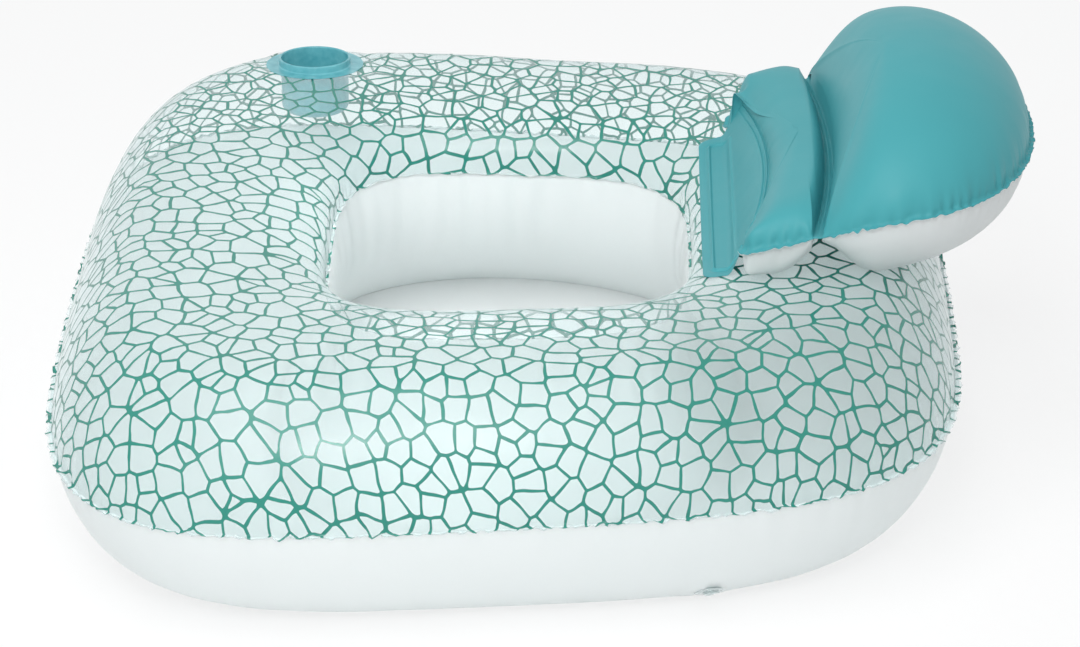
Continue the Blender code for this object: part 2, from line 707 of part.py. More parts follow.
def make_flap(root, fold, fold_at, looks):
    """The tab is welded to the ring along a raised bead; the apron behind it lifts."""
    top = fold_height() + SHEET / 2.0
    weld_end_share = FLAP_LENGTH_SHARES[6]
    length = FLAP_FOLD_X - PLAY - FLAP_FRONT_X
    last = len(FLAP_WIDTH_SHARES) - 1
    rows = []
    for i, length_share in enumerate(FLAP_LENGTH_SHARES):
        x = FLAP_FRONT_X + length * length_share
        back = min((x - FLAP_FRONT_X) / FLAP_CORNER, 1.0)
        half = FLAP_HALF_WIDTH - FLAP_CORNER * (1.0 - math.sqrt(back * (2.0 - back)))
        row = []
        for j, width_share in enumerate(FLAP_WIDTH_SHARES):
            y = half * width_share
            on_side = i in (3, 6) and 2 <= j <= last - 2
            on_end = j in (2, last - 2) and 3 <= i <= 6
            bead = WELD_BEAD if on_side or on_end else 0.0
            lying = ring_top(x, y) + FLAP_LIFT + SHEET + bead
            free = max((length_share - weld_end_share) / (1.0 - weld_end_share), 0.0)
            row.append(Vector((x, y, lying + (top - lying) * free)))
        rows.append(row)
    bm = grid_sheet(rows, closed=False)
    face_up(bm, True)
    solidify(finish("flap_tab", bm, looks["teal"], root))

    rows = []
    front = FLAP_FOLD_X + PLAY
    for run in (0.0, 0.5, 1.0):
        row = []
        for i in range(APRON_STEPS + 1):
            y = FLAP_HALF_WIDTH * (2.0 * i / APRON_STEPS - 1.0)
            back = roll_front_x(y) - CREASE_EDGE - APRON_GAP
            x = front + (back - front) * run
            high = roll_plane(back, y)
            row.append(Vector((x, y, top + (high - top) * run)))
        rows.append(row)
    bm = grid_sheet(rows, closed=False)
    face_up(bm, True)
    solidify(finish("flap_apron", bm, looks["teal"], fold, fold_at))


def make_backrest(fold, fold_at, nod, nod_at, looks):
    offset = PLAY / 2.0 + SHEET
    centre = ((ROLL_FRONT_X + crease_x(0.0)) / 2.0, 0.0)
    outline = roll_outline()
    bm = pillow_sheet(outline, centre, roll_plane, roll_fullness, ROLL_RISE, True, offset)
    solidify(finish("lumbar_top_sheet", bm, looks["teal"], fold, fold_at))
    bm = pillow_sheet(outline, centre, roll_plane, roll_fullness, ROLL_DROP, False, -offset)
    solidify(finish("lumbar_bottom_sheet", bm, looks["white"], fold, fold_at))

    rows = []
    for side in (-1.0, 0.0, 1.0):
        line = crease_points(side * CREASE_STRIP / 2.0)
        rows.append([Vector((x, y, CREASE_Z)) for x, y, width in line])
    bm = grid_sheet(rows, closed=False)
    face_up(bm, True)
    solidify(finish("crease_weld_strip", bm, looks["teal"], fold, fold_at), 2.0 * SHEET)

    centre = (PILLOW_CENTRE_X, 0.0)
    outline = pillow_outline()
    bm = pillow_sheet(outline, centre, pillow_plane, pillow_fullness, PILLOW_RISE, True, offset)
    solidify(finish("headrest_top_sheet", bm, looks["teal"], nod, nod_at))
    bm = pillow_sheet(outline, centre, pillow_plane, pillow_fullness, PILLOW_DROP, False,
                      -offset)
    valve_at, valve_turn = pillow_valve_frame()
    hole = STEM_RADIUS + PLAY + SHEET
    land = VALVE_FLANGE_RADIUS + PLAY
    seat_land(bm, valve_at, valve_turn, land, hole, VALVE_SEGMENTS)
    face_up(bm, False)
    solidify(finish("headrest_bottom_sheet", bm, looks["white"], nod, nod_at))
    return valve_at, valve_turn


def box(bm, low, high):
    made = bmesh.ops.create_cube(bm, size=1.0)["verts"]
    for vert in made:
        share = vert.co + Vector((0.5, 0.5, 0.5))
        for axis in range(3):
            vert.co[axis] = low[axis] + (high[axis] - low[axis]) * share[axis]


def union(base, other_bm, look):
    """Join a small shape to a piece with an exact Boolean."""
    tool = finish(base.name + "_tool", other_bm, look, base.parent)
    tool.hide_render = True
    tool.display_type = "WIRE"
    join = base.modifiers.new("joined", "BOOLEAN")
    join.operation = "UNION"
    join.solver = "EXACT"
    join.object = tool


def make_valve(prefix, centre, turn, parent, looks):
    """A push-in air valve: weld flange, stem, plug on a tether, check flap."""
    seat = empty(prefix + "_frame", parent, centre + turn @ Vector((0.0, 0.0, PLAY)), turn)
    outer = STEM_RADIUS + PLAY
    flange = [(outer, 0.0), (VALVE_FLANGE_RADIUS, 0.0),
              (VALVE_FLANGE_RADIUS, VALVE_FLANGE * 0.5),
              (VALVE_FLANGE_RADIUS - VALVE_FLANGE, VALVE_FLANGE),
              (outer, VALVE_FLANGE)]
    finish(prefix + "_flange", turned(flange, VALVE_SEGMENTS), looks["clear_soft"], seat)

    mouth = VALVE_FLANGE + STEM_PROUD
    foot = mouth - STEM_LENGTH
    collar = STEM_RADIUS + STEM_COLLAR
    stem = [(STEM_BORE, foot), (STEM_RADIUS + STEM_STOP, foot),
            (STEM_RADIUS + STEM_STOP, foot + STEM_STOP), (STEM_RADIUS, foot + STEM_STOP),
            (STEM_RADIUS, mouth - STEM_COLLAR), (collar, mouth - STEM_COLLAR),
            (collar, mouth), (STEM_BORE, mouth)]
    stem_piece = finish(prefix + "_stem", turned(stem, VALVE_SEGMENTS), looks["clear_soft"], seat)
    ear = bmesh.new()
    box(ear, (STEM_RADIUS - STEM_COLLAR * 0.5, -EAR_WIDTH / 2.0, mouth - STEM_COLLAR * 0.9),
        (EAR_REACH, EAR_WIDTH / 2.0, mouth - STEM_COLLAR * 0.2))
    union(stem_piece, ear, looks["clear_soft"])

    hinge_z = mouth + PLAY / 2.0
    plug_axis = empty(prefix + "_plug_axis", seat, (EAR_REACH, 0.0, hinge_z))
    low = mouth + PLAY - hinge_z
    plug = [(0.0, low - PLUG_PIN_LENGTH), (PLUG_PIN_RADIUS * 0.8, low - PLUG_PIN_LENGTH),
            (PLUG_PIN_RADIUS, low - PLUG_PIN_LENGTH * 0.7), (PLUG_PIN_RADIUS, low),
            (STEM_RADIUS, low), (STEM_RADIUS, low + PLUG_CAP * 0.6),
            (STEM_RADIUS - PLUG_CAP * 0.6, low + PLUG_CAP), (0.0, low + PLUG_CAP)]
    bm = turned(plug, VALVE_SEGMENTS)
    bmesh.ops.transform(bm, matrix=Matrix.Translation((-EAR_REACH, 0.0, 0.0)), verts=bm.verts)
    plug_piece = finish(prefix + "_plug", bm, looks["clear_soft"], plug_axis)
    strap = bmesh.new()
    box(strap, (-EAR_REACH + STEM_RADIUS * 0.5, -EAR_WIDTH / 2.0, low + TETHER * 0.1),
        (0.0, EAR_WIDTH / 2.0, low + TETHER))
    union(plug_piece, strap, looks["clear_soft"])

    flap_axis = empty(prefix + "_flap_axis", seat, (STEM_BORE + STEM_STOP, 0.0, foot - PLAY))
    disc = bmesh.new()
    bmesh.ops.create_cone(disc, cap_ends=True, segments=VALVE_SEGMENTS, depth=CHECK_FLAP,
                          radius1=STEM_BORE + STEM_STOP, radius2=STEM_BORE + STEM_STOP,
                          matrix=Matrix.Translation((-STEM_BORE - STEM_STOP, 0.0,
                                                     -CHECK_FLAP / 2.0)))
    finish(prefix + "_flap", disc, looks["clear_soft"], flap_axis)


def settle(root):
    """Stand the chair on the ground with its box centred over the origin."""
    bpy.context.view_layer.update()
    graph = bpy.context.evaluated_depsgraph_get()
    corners = []
    for item in bpy.context.scene.objects:
        if item.type == "MESH" and not item.hide_render:
            mesh = item.evaluated_get(graph).to_mesh()
            corners += [item.matrix_world @ vert.co for vert in mesh.vertices]
            item.evaluated_get(graph).to_mesh_clear()
    for axis in (0, 1):
        values = [corner[axis] for corner in corners]
        root.location[axis] -= (min(values) + max(values)) / 2.0
    root.location.z -= min(corner.z for corner in corners)
    bpy.context.view_layer.update()


def main():
    clear_scene()
    looks = {
        "clear": material("clear_printed_pvc", (0.55, 0.78, 0.76), 0.12, 0.55),
        "clear_soft": material("clear_soft_pvc", (0.80, 0.84, 0.84), 0.20, 0.7),
        "white": material("white_pvc", (0.80, 0.82, 0.83), 0.35),
        "teal": material("teal_pvc", (0.11, 0.39, 0.42), 0.35),
        "cup": material("teal_clear_pvc", (0.07, 0.45, 0.52), 0.18, 0.75),
    }
    root = empty("chair", None, (0.0, 0.0, 0.0))
    make_ring(root, looks)
    make_floor(root, looks)
    make_cup(root, looks)
    centre, turn = ring_valve_frame()
    make_valve("ring_valve", centre, turn, root, looks)

    fold_at = Vector((FLAP_FOLD_X, 0.0, fold_height()))
    fold = empty("backrest_fold_axis", root, fold_at)
    nod_at = Vector((CREASE_X + CREASE_BOW * 0.5, 0.0, CREASE_Z))
    nod = empty("headrest_fold_axis", fold, nod_at - fold_at)
    make_flap(root, fold, fold_at, looks)
    valve_at, valve_turn = make_backrest(fold, fold_at, nod, nod_at, looks)
    make_valve("headrest_valve", valve_at - nod_at, valve_turn, nod, looks)
    settle(root)


main()
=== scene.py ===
# %% [markdown]
# An inflatable lounge chair, cut from PVC sheet and welded flat along its seams.
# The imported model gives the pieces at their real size. This lesson dresses them:
# every skin is made again as a fine mesh with its puckers, and gets its material.

# %% Load the frame
import json
import math

import bmesh
import bpy
import numpy as np
from mathutils import Matrix, Vector


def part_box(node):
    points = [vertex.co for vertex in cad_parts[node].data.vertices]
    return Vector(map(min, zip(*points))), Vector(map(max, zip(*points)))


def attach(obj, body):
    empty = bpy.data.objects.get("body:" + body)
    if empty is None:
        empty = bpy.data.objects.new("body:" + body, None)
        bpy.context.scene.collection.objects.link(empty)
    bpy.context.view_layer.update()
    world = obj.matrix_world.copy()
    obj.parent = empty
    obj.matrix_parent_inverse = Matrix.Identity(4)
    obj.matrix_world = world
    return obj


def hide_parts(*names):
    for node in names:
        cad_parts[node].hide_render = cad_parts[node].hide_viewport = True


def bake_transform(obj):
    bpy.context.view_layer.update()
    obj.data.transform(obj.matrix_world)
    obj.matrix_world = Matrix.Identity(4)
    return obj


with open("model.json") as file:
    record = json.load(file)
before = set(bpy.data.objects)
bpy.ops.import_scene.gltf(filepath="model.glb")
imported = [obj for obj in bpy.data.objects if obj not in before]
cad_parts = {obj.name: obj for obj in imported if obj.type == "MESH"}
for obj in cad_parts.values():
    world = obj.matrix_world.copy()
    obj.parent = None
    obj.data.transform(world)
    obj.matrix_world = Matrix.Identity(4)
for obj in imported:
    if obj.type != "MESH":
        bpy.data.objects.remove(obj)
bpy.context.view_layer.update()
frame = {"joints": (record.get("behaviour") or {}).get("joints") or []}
joints = {joint["name"]: joint for joint in frame["joints"]}

# %% [markdown]
# Sheet pieces are grids: rows run across the sheet and columns run along its seam.
# A small function turns such a grid into a mesh, another gives it the gauge of the
# sheet with a Solidify modifier, which is applied so that the finished mesh is real.

# %% Helpers for meshes
SHEET = 0.0004            # gauge of the sheet
PLAY = 0.0003             # gap between two sheets that touch
RING_LOW, RING_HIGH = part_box("ring_top_sheet")
RING_X = (RING_LOW.x + RING_HIGH.x) / 2.0


def only(item):
    bpy.ops.object.select_all(action="DESELECT")
    item.select_set(True)
    bpy.context.view_layer.objects.active = item


def modify(item, name, kind, **settings):
    """Give an object a modifier with these settings, and apply it."""
    modifier = item.modifiers.new(name, kind)
    for key, value in settings.items():
        setattr(modifier, key, value)
    only(item)
    bpy.ops.object.modifier_apply(modifier=name)


def grid_faces(rows, columns, closed):
    """Quads of a grid; a closed grid joins its last column to its first."""
    last = columns if closed else columns - 1
    row, column = np.meshgrid(np.arange(rows - 1), np.arange(last), indexing="ij")
    here = row * columns + column
    beside = row * columns + (column + 1) % columns
    return np.stack([here, beside, beside + columns, here + columns], axis=-1).reshape(-1, 4)


def face_up(mesh, up):
    """Turn all faces so that, taken together, they look up or down."""
    total = sum(face.normal.z * face.area for face in mesh.polygons)
    if (total > 0.0) != up:
        mesh.flip_normals()


def sheet_object(name, places, look, up, closed=True, pole=None, layout=None):
    """A sheet from a grid of places (rows, columns, 3), given from the middle of the
    ring. A pole closes the last row to one point, and a layout gives the print's UV."""
    rows, columns = places.shape[:2]
    faces = grid_faces(rows, columns, closed).tolist()
    verts = (places.reshape(-1, 3) + [RING_X, 0.0, 0.0]).tolist()
    if pole is not None:
        verts.append([pole[0] + RING_X, pole[1], pole[2]])
        first = (rows - 1) * columns
        tip = len(verts) - 1
        faces += [[first + i, first + (i + 1) % columns, tip] for i in range(columns)]
    mesh = bpy.data.meshes.new(name)
    mesh.from_pydata(verts, [], faces)
    if layout is not None:
        layer = mesh.uv_layers.new(name="print")
        index = np.zeros(len(mesh.loops), np.int32)
        mesh.loops.foreach_get("vertex_index", index)
        layer.data.foreach_set("uv", layout.reshape(-1, 2)[index].astype(np.float32).ravel())
    face_up(mesh, up)
    mesh.shade_smooth()
    mesh.materials.append(look)
    made = bpy.data.objects.new(name, mesh)
    bpy.context.scene.collection.objects.link(made)
    return made


def give_gauge(item, thickness=SHEET):
    """The modelled face is the outer one, and the gauge goes inwards."""
    modify(item, "gauge", "SOLIDIFY", thickness=thickness, offset=-1.0, use_rim=True)


def dress(item, nodes, body=None):
    """Hide the imported nodes that a piece stands for, and hang it on the body that it rides on."""
    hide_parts(*nodes)
    if body:
        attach(item, body)


# %% [markdown]
# Colours are written as sRGB hex values, as a colour picker shows them, and one
# function turns them into the linear values that the shaders work with. One function
# adds a node with its links, and short ones add the kinds that are needed often.

# %% Helpers for materials
WHITE = (1.0, 1.0, 1.0, 1.0)


def colour(hex_value):
    """Linear RGBA from an sRGB hex value."""
    channels = [int(hex_value[i:i + 2], 16) / 255.0 for i in (1, 3, 5)]
    linear = [c / 12.92 if c <= 0.04045 else ((c + 0.055) / 1.055) ** 2.4 for c in channels]
    return (*linear, 1.0)


def add_node(tree, kind, settings=None, **links):
    """Add a node with its settings; a link is a socket, and anything else a value."""
    node = tree.nodes.new(kind)
    for key, value in (settings or {}).items():
        setattr(node, key, value)
    for key, value in links.items():
        name = key.replace("_", " ")
        socket = node.inputs[int(key[1:])] if key[0] == "i" and key[1:].isdigit() else node.inputs[name]
        if isinstance(value, bpy.types.NodeSocket):
            tree.links.new(value, socket)
        else:
            socket.default_value = value
    return node


def calculate(tree, operation, first, second):
    return add_node(tree, "ShaderNodeMath", {"operation": operation}, i0=first, i1=second).outputs[0]


def remap(tree, value, low, high, from_low=0.0, from_high=1.0):
    """A value carried from one range to another, and kept inside it."""
    return add_node(tree, "ShaderNodeMapRange", Value=value, From_Min=from_low, From_Max=from_high,
                    To_Min=low, To_Max=high).outputs["Result"]


def noise(tree, place, size, detail):
    """A noise whose grain is a size in metres wide."""
    return add_node(tree, "ShaderNodeTexNoise", Vector=place, Scale=1.0 / size, Detail=detail)


def between(tree, share, first, second):
    """A colour between two others."""
    return add_node(tree, "ShaderNodeMix", {"data_type": "RGBA"}, i0=share, i6=first, i7=second).outputs["Result"]


def mix_shaders(tree, share, first, second):
    return add_node(tree, "ShaderNodeMixShader", Fac=share, i1=first.outputs[0], i2=second.outputs[0])


def new_material(name):
    """An empty node material, its tree and the place on the object."""
    made = bpy.data.materials.new(name)
    made.use_nodes = True
    tree = made.node_tree
    tree.nodes.clear()
    return made, tree, add_node(tree, "ShaderNodeTexCoord").outputs["Object"]


# %% [markdown]
# The camera stands far away with a long lens, as in a catalogue picture, about
# 26 degrees over the horizon. Its place was found by fitting the outline of the ring.

# %% Camera
CAMERA_PLACE = Vector((RING_X + 0.128, -4.758, 2.485))
CAMERA_BACK = Vector((0.0172, -0.8970, 0.4418))
PICTURE_WIDTH = 1080
FOCAL_PIXELS = 4289.7


def stand(name, data, place, back):
    """An object at a place, with its back turned to a direction."""
    made = bpy.data.objects.new(name, data)
    bpy.context.scene.collection.objects.link(made)
    made.location = place
    made.rotation_mode = "QUATERNION"
    made.rotation_quaternion = back.to_track_quat("Z", "Y")
    return made


camera_data = bpy.data.cameras.new("camera")
camera_data.sensor_width = 36.0
camera_data.lens = FOCAL_PIXELS / PICTURE_WIDTH * camera_data.sensor_width
bpy.context.scene.camera = stand("camera", camera_data, CAMERA_PLACE, CAMERA_BACK)
print("lens", round(camera_data.lens, 1), "mm")

# %% [markdown]
# The studio is white. A large soft lamp overhead gives most of the light, a second
# one at the left gives the sheet its soft shine, a third one beside the camera
# and a small one overhead reach into the well, and the world fills the shadows.
# For what the camera sees, the floor is mostly its own white, so its shadow is faint.

# %% Studio
KEY_POWER = 32.0
SIDE_POWER = 5.4
FRONT_POWER = 3.2
WELL_POWER = 0.35
WORLD_STRENGTH = 0.66
FLOOR_OWN_WHITE = 0.72
FLOOR_SIZE, FLOOR_DROP = 24.0, 0.0006


def area_lamp(name, place, target, size, power, spread=180.0):
    data = bpy.data.lights.new(name, "AREA")
    data.shape = "DISK"
    data.size = size
    data.energy = power
    data.spread = math.radians(spread)
    stand(name, data, place, Vector(place) - Vector(target))


area_lamp("key_lamp", (-0.7, -1.3, 2.9), (0.0, 0.0, 0.2), 2.2, KEY_POWER)
area_lamp("side_lamp", (-1.6, -2.6, 1.6), (0.0, 0.0, 0.2), 1.2, SIDE_POWER)
area_lamp("front_lamp", (-0.2, -3.0, 2.6), (-0.1, 0.1, 0.15), 1.0, FRONT_POWER, spread=50.0)
area_lamp("well_lamp", (-0.1, 0.0, 1.5), (-0.1, 0.0, 0.0), 0.15, WELL_POWER, spread=22.0)


def seen_directly(tree):
    """1 for what the camera sees, also in a reflection or through a clear sheet."""
    path = add_node(tree, "ShaderNodeLightPath").outputs
    mirror = calculate(tree, "MAXIMUM", path["Is Camera Ray"], path["Is Glossy Ray"])
    return calculate(tree, "MAXIMUM", mirror, path["Is Transmission Ray"])


world = bpy.data.worlds.new("studio")
bpy.context.scene.world = world
world.use_nodes = True
tree = world.node_tree
tree.nodes.clear()
white_wall = add_node(tree, "ShaderNodeBackground", Color=WHITE, Strength=1.0)
fill_light = add_node(tree, "ShaderNodeBackground", Color=(0.97, 0.99, 1.0, 1.0), Strength=WORLD_STRENGTH)
both = mix_shaders(tree, seen_directly(tree), fill_light, white_wall)
add_node(tree, "ShaderNodeOutputWorld", Surface=both.outputs[0])

floor_look, tree, _ = new_material("white_studio_floor")
paint = add_node(tree, "ShaderNodeBsdfDiffuse", Color=colour("#f8f8f8"))
glow = add_node(tree, "ShaderNodeEmission", Color=WHITE, Strength=1.0)
own = calculate(tree, "MULTIPLY", seen_directly(tree), FLOOR_OWN_WHITE)
add_node(tree, "ShaderNodeOutputMaterial", Surface=mix_shaders(tree, own, paint, glow).outputs[0])

bpy.ops.object.select_all(action="DESELECT")
bpy.ops.mesh.primitive_plane_add(size=FLOOR_SIZE, location=(0.0, 0.0, -FLOOR_DROP))
floor = bpy.context.active_object
floor.name = "studio_floor"
floor.data.materials.append(floor_look)
bpy.context.scene.view_settings.view_transform = "Standard"

# %% [markdown]
# The white, teal and clear sheet are all plasticised PVC, calendered to a satin face.
# PVC has an index of refraction of 1.53. The face isn't quite even: a slow swell
# of a few centimetres and a fine orange peel of 2 mm bend the reflections a little.
# White sheet of this gauge lets light through, so the wall of the well glows.

# %% Opaque PVC sheet
PVC_IOR = 1.53
SWELL_WIDTH, PEEL_WIDTH = 0.055, 0.002
TINT_WIDTH, GLOSS_WIDTH = 0.14, 0.05    # over which colour and gloss drift
GLOSS_LESS, GLOSS_MORE = 0.06, 0.05     # how far roughness drifts up and down
SWELL_DEPTH, PEEL_DEPTH = 0.0010, 0.00003


def sheet_bump(tree, place, swell_depth, peel_depth):
    """The slow swell of the sheet and the fine peel on it, as one normal."""
    swell = noise(tree, place, SWELL_WIDTH, 1.0).outputs["Fac"]
    peel = noise(tree, place, PEEL_WIDTH, 0.0).outputs["Fac"]
    low = add_node(tree, "ShaderNodeBump", Height=swell, Strength=1.0, Distance=swell_depth)
    high = add_node(tree, "ShaderNodeBump", Height=peel, Strength=1.0, Distance=peel_depth,
                    Normal=low.outputs["Normal"])
    return high.outputs["Normal"]


def satin_sheet(name, main, second, roughness, through=0.0, shine=0.4):
    """Satin PVC whose colour drifts a little, with a share of light that goes through."""
    made, tree, place = new_material(name)
    tint = between(tree, noise(tree, place, TINT_WIDTH, 2.0).outputs["Fac"], colour(main), colour(second))
    gloss = noise(tree, place, GLOSS_WIDTH, 3.0).outputs["Fac"]
    satin = remap(tree, gloss, roughness - GLOSS_MORE, roughness + GLOSS_LESS)
    shader = add_node(tree, "ShaderNodeBsdfPrincipled", Base_Color=tint, Roughness=satin, IOR=PVC_IOR,
                      Specular_IOR_Level=shine, Normal=sheet_bump(tree, place, SWELL_DEPTH, PEEL_DEPTH))
    if through > 0.0:
        shader = mix_shaders(tree, through, shader, add_node(tree, "ShaderNodeBsdfTranslucent", Color=tint))
    add_node(tree, "ShaderNodeOutputMaterial", Surface=shader.outputs[0])
    return made


white_pvc = satin_sheet("white_calendered_pvc", "#fafcfc", "#f7fafa", 0.34, through=0.38)
teal_pvc = satin_sheet("teal_calendered_pvc", "#4a9fa6", "#459aa1", 0.42, shine=0.17)

# %% [markdown]
# The top sheet of the ring is clear PVC film, printed with the outlines of irregular
# cells. The cells are a Voronoi pattern in the flat layout of the sheet, so they
# keep their size in millimetres and are drawn together where the sheet puckers.
# A line is drawn where the distance to the cell's edge is small. Where three cells
# meet, the smooth distance to their middles falls short, and the line swells there,
# so that corners are rounded as ink rounds them.

# %% Printed clear film
CELL = 0.0285             # mean width of a cell
LINE = 0.0034             # mean width of a printed line
CORNER_BLEND = 0.5        # how far from a corner, in cells, its fillet begins
CORNER_GAIN = 2.2
FILM_OPACITY = 0.09       # share of light that one face of the bare film scatters
INK_OPACITY = 0.93
SHADOW_SHARE = 0.10       # how much of its cover the film keeps in its own shadow
WOBBLE = 0.010            # how far the lines wander from straight
WOBBLE_WIDTH, PRESSURE_WIDTH = 0.045, 0.020   # over which lines wander, and swell and thin
HALF_THIN, HALF_THICK = 0.42, 0.62            # half widths of a line, as shares of its mean width
FILLET_START, FILLET_END = 0.25, 0.387        # shares of the blend between which a corner fills
INK_SOFT = 0.006          # half the soft edge of a line, in cells


def cell_print(tree):
    """1 on the printed lines and 0 inside the cells, with soft ink edges."""
    flat = add_node(tree, "ShaderNodeUVMap", {"uv_map": "print"}).outputs["UV"]
    wobble = noise(tree, flat, WOBBLE_WIDTH, 1.0).outputs["Color"]
    bent = add_node(tree, "ShaderNodeVectorMath", {"operation": "MULTIPLY_ADD"}, i0=wobble,
                    i1=(WOBBLE, WOBBLE, 0.0), i2=flat)
    found = []
    for feature in ("DISTANCE_TO_EDGE", "F1", "SMOOTH_F1"):
        cells = add_node(tree, "ShaderNodeTexVoronoi", {"voronoi_dimensions": "2D", "feature": feature},
                         Vector=bent.outputs[0], Scale=1.0 / CELL, Randomness=1.0)
        if feature == "SMOOTH_F1":
            cells.inputs["Smoothness"].default_value = 2.0 * CORNER_BLEND
        found.append(cells.outputs["Distance"])
    to_edge, to_middle, to_middles = found
    apart = calculate(tree, "SUBTRACT", to_middle, to_middles)
    corner = remap(tree, apart, 1.0, 1.0 + CORNER_GAIN, FILLET_START * CORNER_BLEND, FILLET_END * CORNER_BLEND)
    pressure = noise(tree, flat, PRESSURE_WIDTH, 0.0).outputs["Fac"]
    half = remap(tree, pressure, HALF_THIN * LINE / CELL, HALF_THICK * LINE / CELL, 0.3, 0.7)
    line = calculate(tree, "SUBTRACT", calculate(tree, "MULTIPLY", half, corner), to_edge)
    return remap(tree, line, 0.0, 1.0, -INK_SOFT, INK_SOFT)


def clear_cover(tree, opacity):
    """Cover of a clear sheet: its own haze, and more of it where it is seen edge on."""
    facing = add_node(tree, "ShaderNodeLayerWeight", Blend=0.5).outputs["Facing"]
    return remap(tree, calculate(tree, "POWER", facing, 5.0), opacity, 1.0)


def clear_surface(tree, base, cover, roughness, bump, clear):
    """A satin face where the sheet covers, and tinted clear PVC elsewhere. The sheet
    covers less for the light that falls through, so its own shadow is faint."""
    shadow = add_node(tree, "ShaderNodeLightPath").outputs["Is Shadow Ray"]
    cover = calculate(tree, "MULTIPLY", cover, remap(tree, shadow, 1.0, SHADOW_SHARE))
    face = add_node(tree, "ShaderNodeBsdfPrincipled", Base_Color=base, Roughness=roughness, IOR=PVC_IOR, Normal=bump)
    gap = add_node(tree, "ShaderNodeBsdfTransparent", Color=colour(clear))
    add_node(tree, "ShaderNodeOutputMaterial", Surface=mix_shaders(tree, cover, gap, face).outputs[0])


printed_film, tree, place = new_material("printed_clear_pvc_film")
ink = cell_print(tree)
cover = add_node(tree, "ShaderNodeMix", {"data_type": "FLOAT"}, i0=ink, i2=clear_cover(tree, FILM_OPACITY),
                 i3=INK_OPACITY).outputs["Result"]
drift = noise(tree, place, 0.10, 2.0).outputs["Fac"]
film_tint = between(tree, drift, colour("#f0fcfb"), colour("#f6fafd"))
ink_tint = between(tree, drift, colour("#1a7f70"), colour("#248a7b"))
clear_surface(tree, between(tree, ink, film_tint, ink_tint), cover, 0.26,
              sheet_bump(tree, place, 0.0008, 0.00002), "#fbfefe")

# %% [markdown]
# The cup pocket is formed from teal film that lets light through, and the valves
# are moulded in soft clear PVC, which looks milky where it is thick.

# %% Translucent PVC


def translucent_sheet(name, main, tint, opacity, roughness):
    made, tree, place = new_material(name)
    body = between(tree, noise(tree, place, 0.012, 2.0).outputs["Fac"], colour(main), colour(tint))
    clear_surface(tree, body, clear_cover(tree, opacity), roughness, sheet_bump(tree, place, 0.0003, 0.00002), tint)
    return made


teal_film = translucent_sheet("teal_translucent_pvc", "#4ba3b0", "#86d2d9", 0.88, 0.18)
soft_clear_pvc = translucent_sheet("moulded_clear_pvc", "#e4ecec", "#f2f8f8", 0.55, 0.22)

# %% [markdown]
# The ring is a square tube of air. Seen from above, its outer and inner seams are
# superellipses, and it flares towards the foot end. A place on the ring is given
# by an angle and a share, from 0 on the outer seam to 1 on the inner seam.

# %% Plan and section of the ring
SEAM_EDGE = 0.006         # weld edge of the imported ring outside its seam
HALF_LENGTH = (RING_HIGH.x - RING_LOW.x) / 2.0 - SEAM_EDGE
HALF_WIDTH = 0.550
CORNER_POWER = 3.9
WELL_HALF_LENGTH = 0.222
WELL_HALF_WIDTH = 0.237
WELL_CORNER_POWER = 3.6
FLARE_SHARE = 0.123
RING_HEIGHT = 0.308
OUTER_SEAM_Z = RING_HEIGHT * 0.507
INNER_SEAM_Z = RING_HEIGHT * 0.770
CREST_SHARE = 0.33
OUTER_SLOPE_POWER = 1.60
INNER_SLOPE_POWER = 3.20
UNDERSIDE_POWER = 1.80
FLAT_START_SHARE = 0.36
FLAT_INSET_SHARE = 0.14
WALL_BULGE_SHARE = 0.050
WALL_CURVE_POWER = 2.2
FLOOR_HEIGHT = 0.040
FLOOR_SAG = 0.012


def superellipse(angle, half_length, half_width, power):
    along = np.abs(np.cos(angle) / half_length) ** power
    across = np.abs(np.sin(angle) / half_width) ** power
    return (along + across) ** (-1.0 / power)


def flare(x):
    return 1.0 - FLARE_SHARE * x / HALF_LENGTH


def seam_radii(angle):
    """Radius of the outer and of the inner seam, before the flare."""
    return (superellipse(angle, HALF_LENGTH, HALF_WIDTH, CORNER_POWER),
            superellipse(angle, WELL_HALF_LENGTH, WELL_HALF_WIDTH, WELL_CORNER_POWER))


def ring_place(angle, share, push=0.0):
    """Plan coordinates from the middle of the ring."""
    outer, inner = seam_radii(angle)
    radius = outer + (inner - outer) * share + push
    x = radius * np.cos(angle)
    return x, radius * np.sin(angle) * flare(x)


def arch(foot, run, power):
    """Height of the sheet from a seam, at run 1, up to the crest, at run 0."""
    return foot + (RING_HEIGHT - foot) * (1.0 - np.clip(run, 0.0, 1.0) ** power) ** (1.0 / power)


def top_height(share):
    share = np.clip(share, 0.0, 1.0)
    outer = arch(OUTER_SEAM_Z, 1.0 - share / CREST_SHARE, OUTER_SLOPE_POWER)
    inner = arch(INNER_SEAM_Z, (share - CREST_SHARE) / (1.0 - CREST_SHARE), INNER_SLOPE_POWER)
    return np.where(share <= CREST_SHARE, outer, inner)


def ring_share(x, y):
    y = y / flare(x)
    outer, inner = seam_radii(np.arctan2(y, x))
    return (outer - np.hypot(x, y)) / (outer - inner)


def ring_top(x, y):
    return top_height(ring_share(x, y))


def floor_share(angle):
    return 0.80 - 0.13 * np.sin(angle) ** 2 + 0.10 * np.sin(2.0 * angle) ** 2


def even_angles(count, share):
    """Angles whose places are evenly spaced along the ring, and its length there."""
    fine = np.linspace(0.0, 2.0 * math.pi, 8001)
    x, y = ring_place(fine, share)
    run = np.concatenate([[0.0], np.cumsum(np.hypot(np.diff(x), np.diff(y)))])
    return np.interp(np.linspace(0.0, run[-1], count, endpoint=False), run, fine), run[-1]


print("ring", round(2 * HALF_LENGTH, 3), "m long, its crest", round(even_angles(8, CREST_SHARE)[1], 2), "m round")

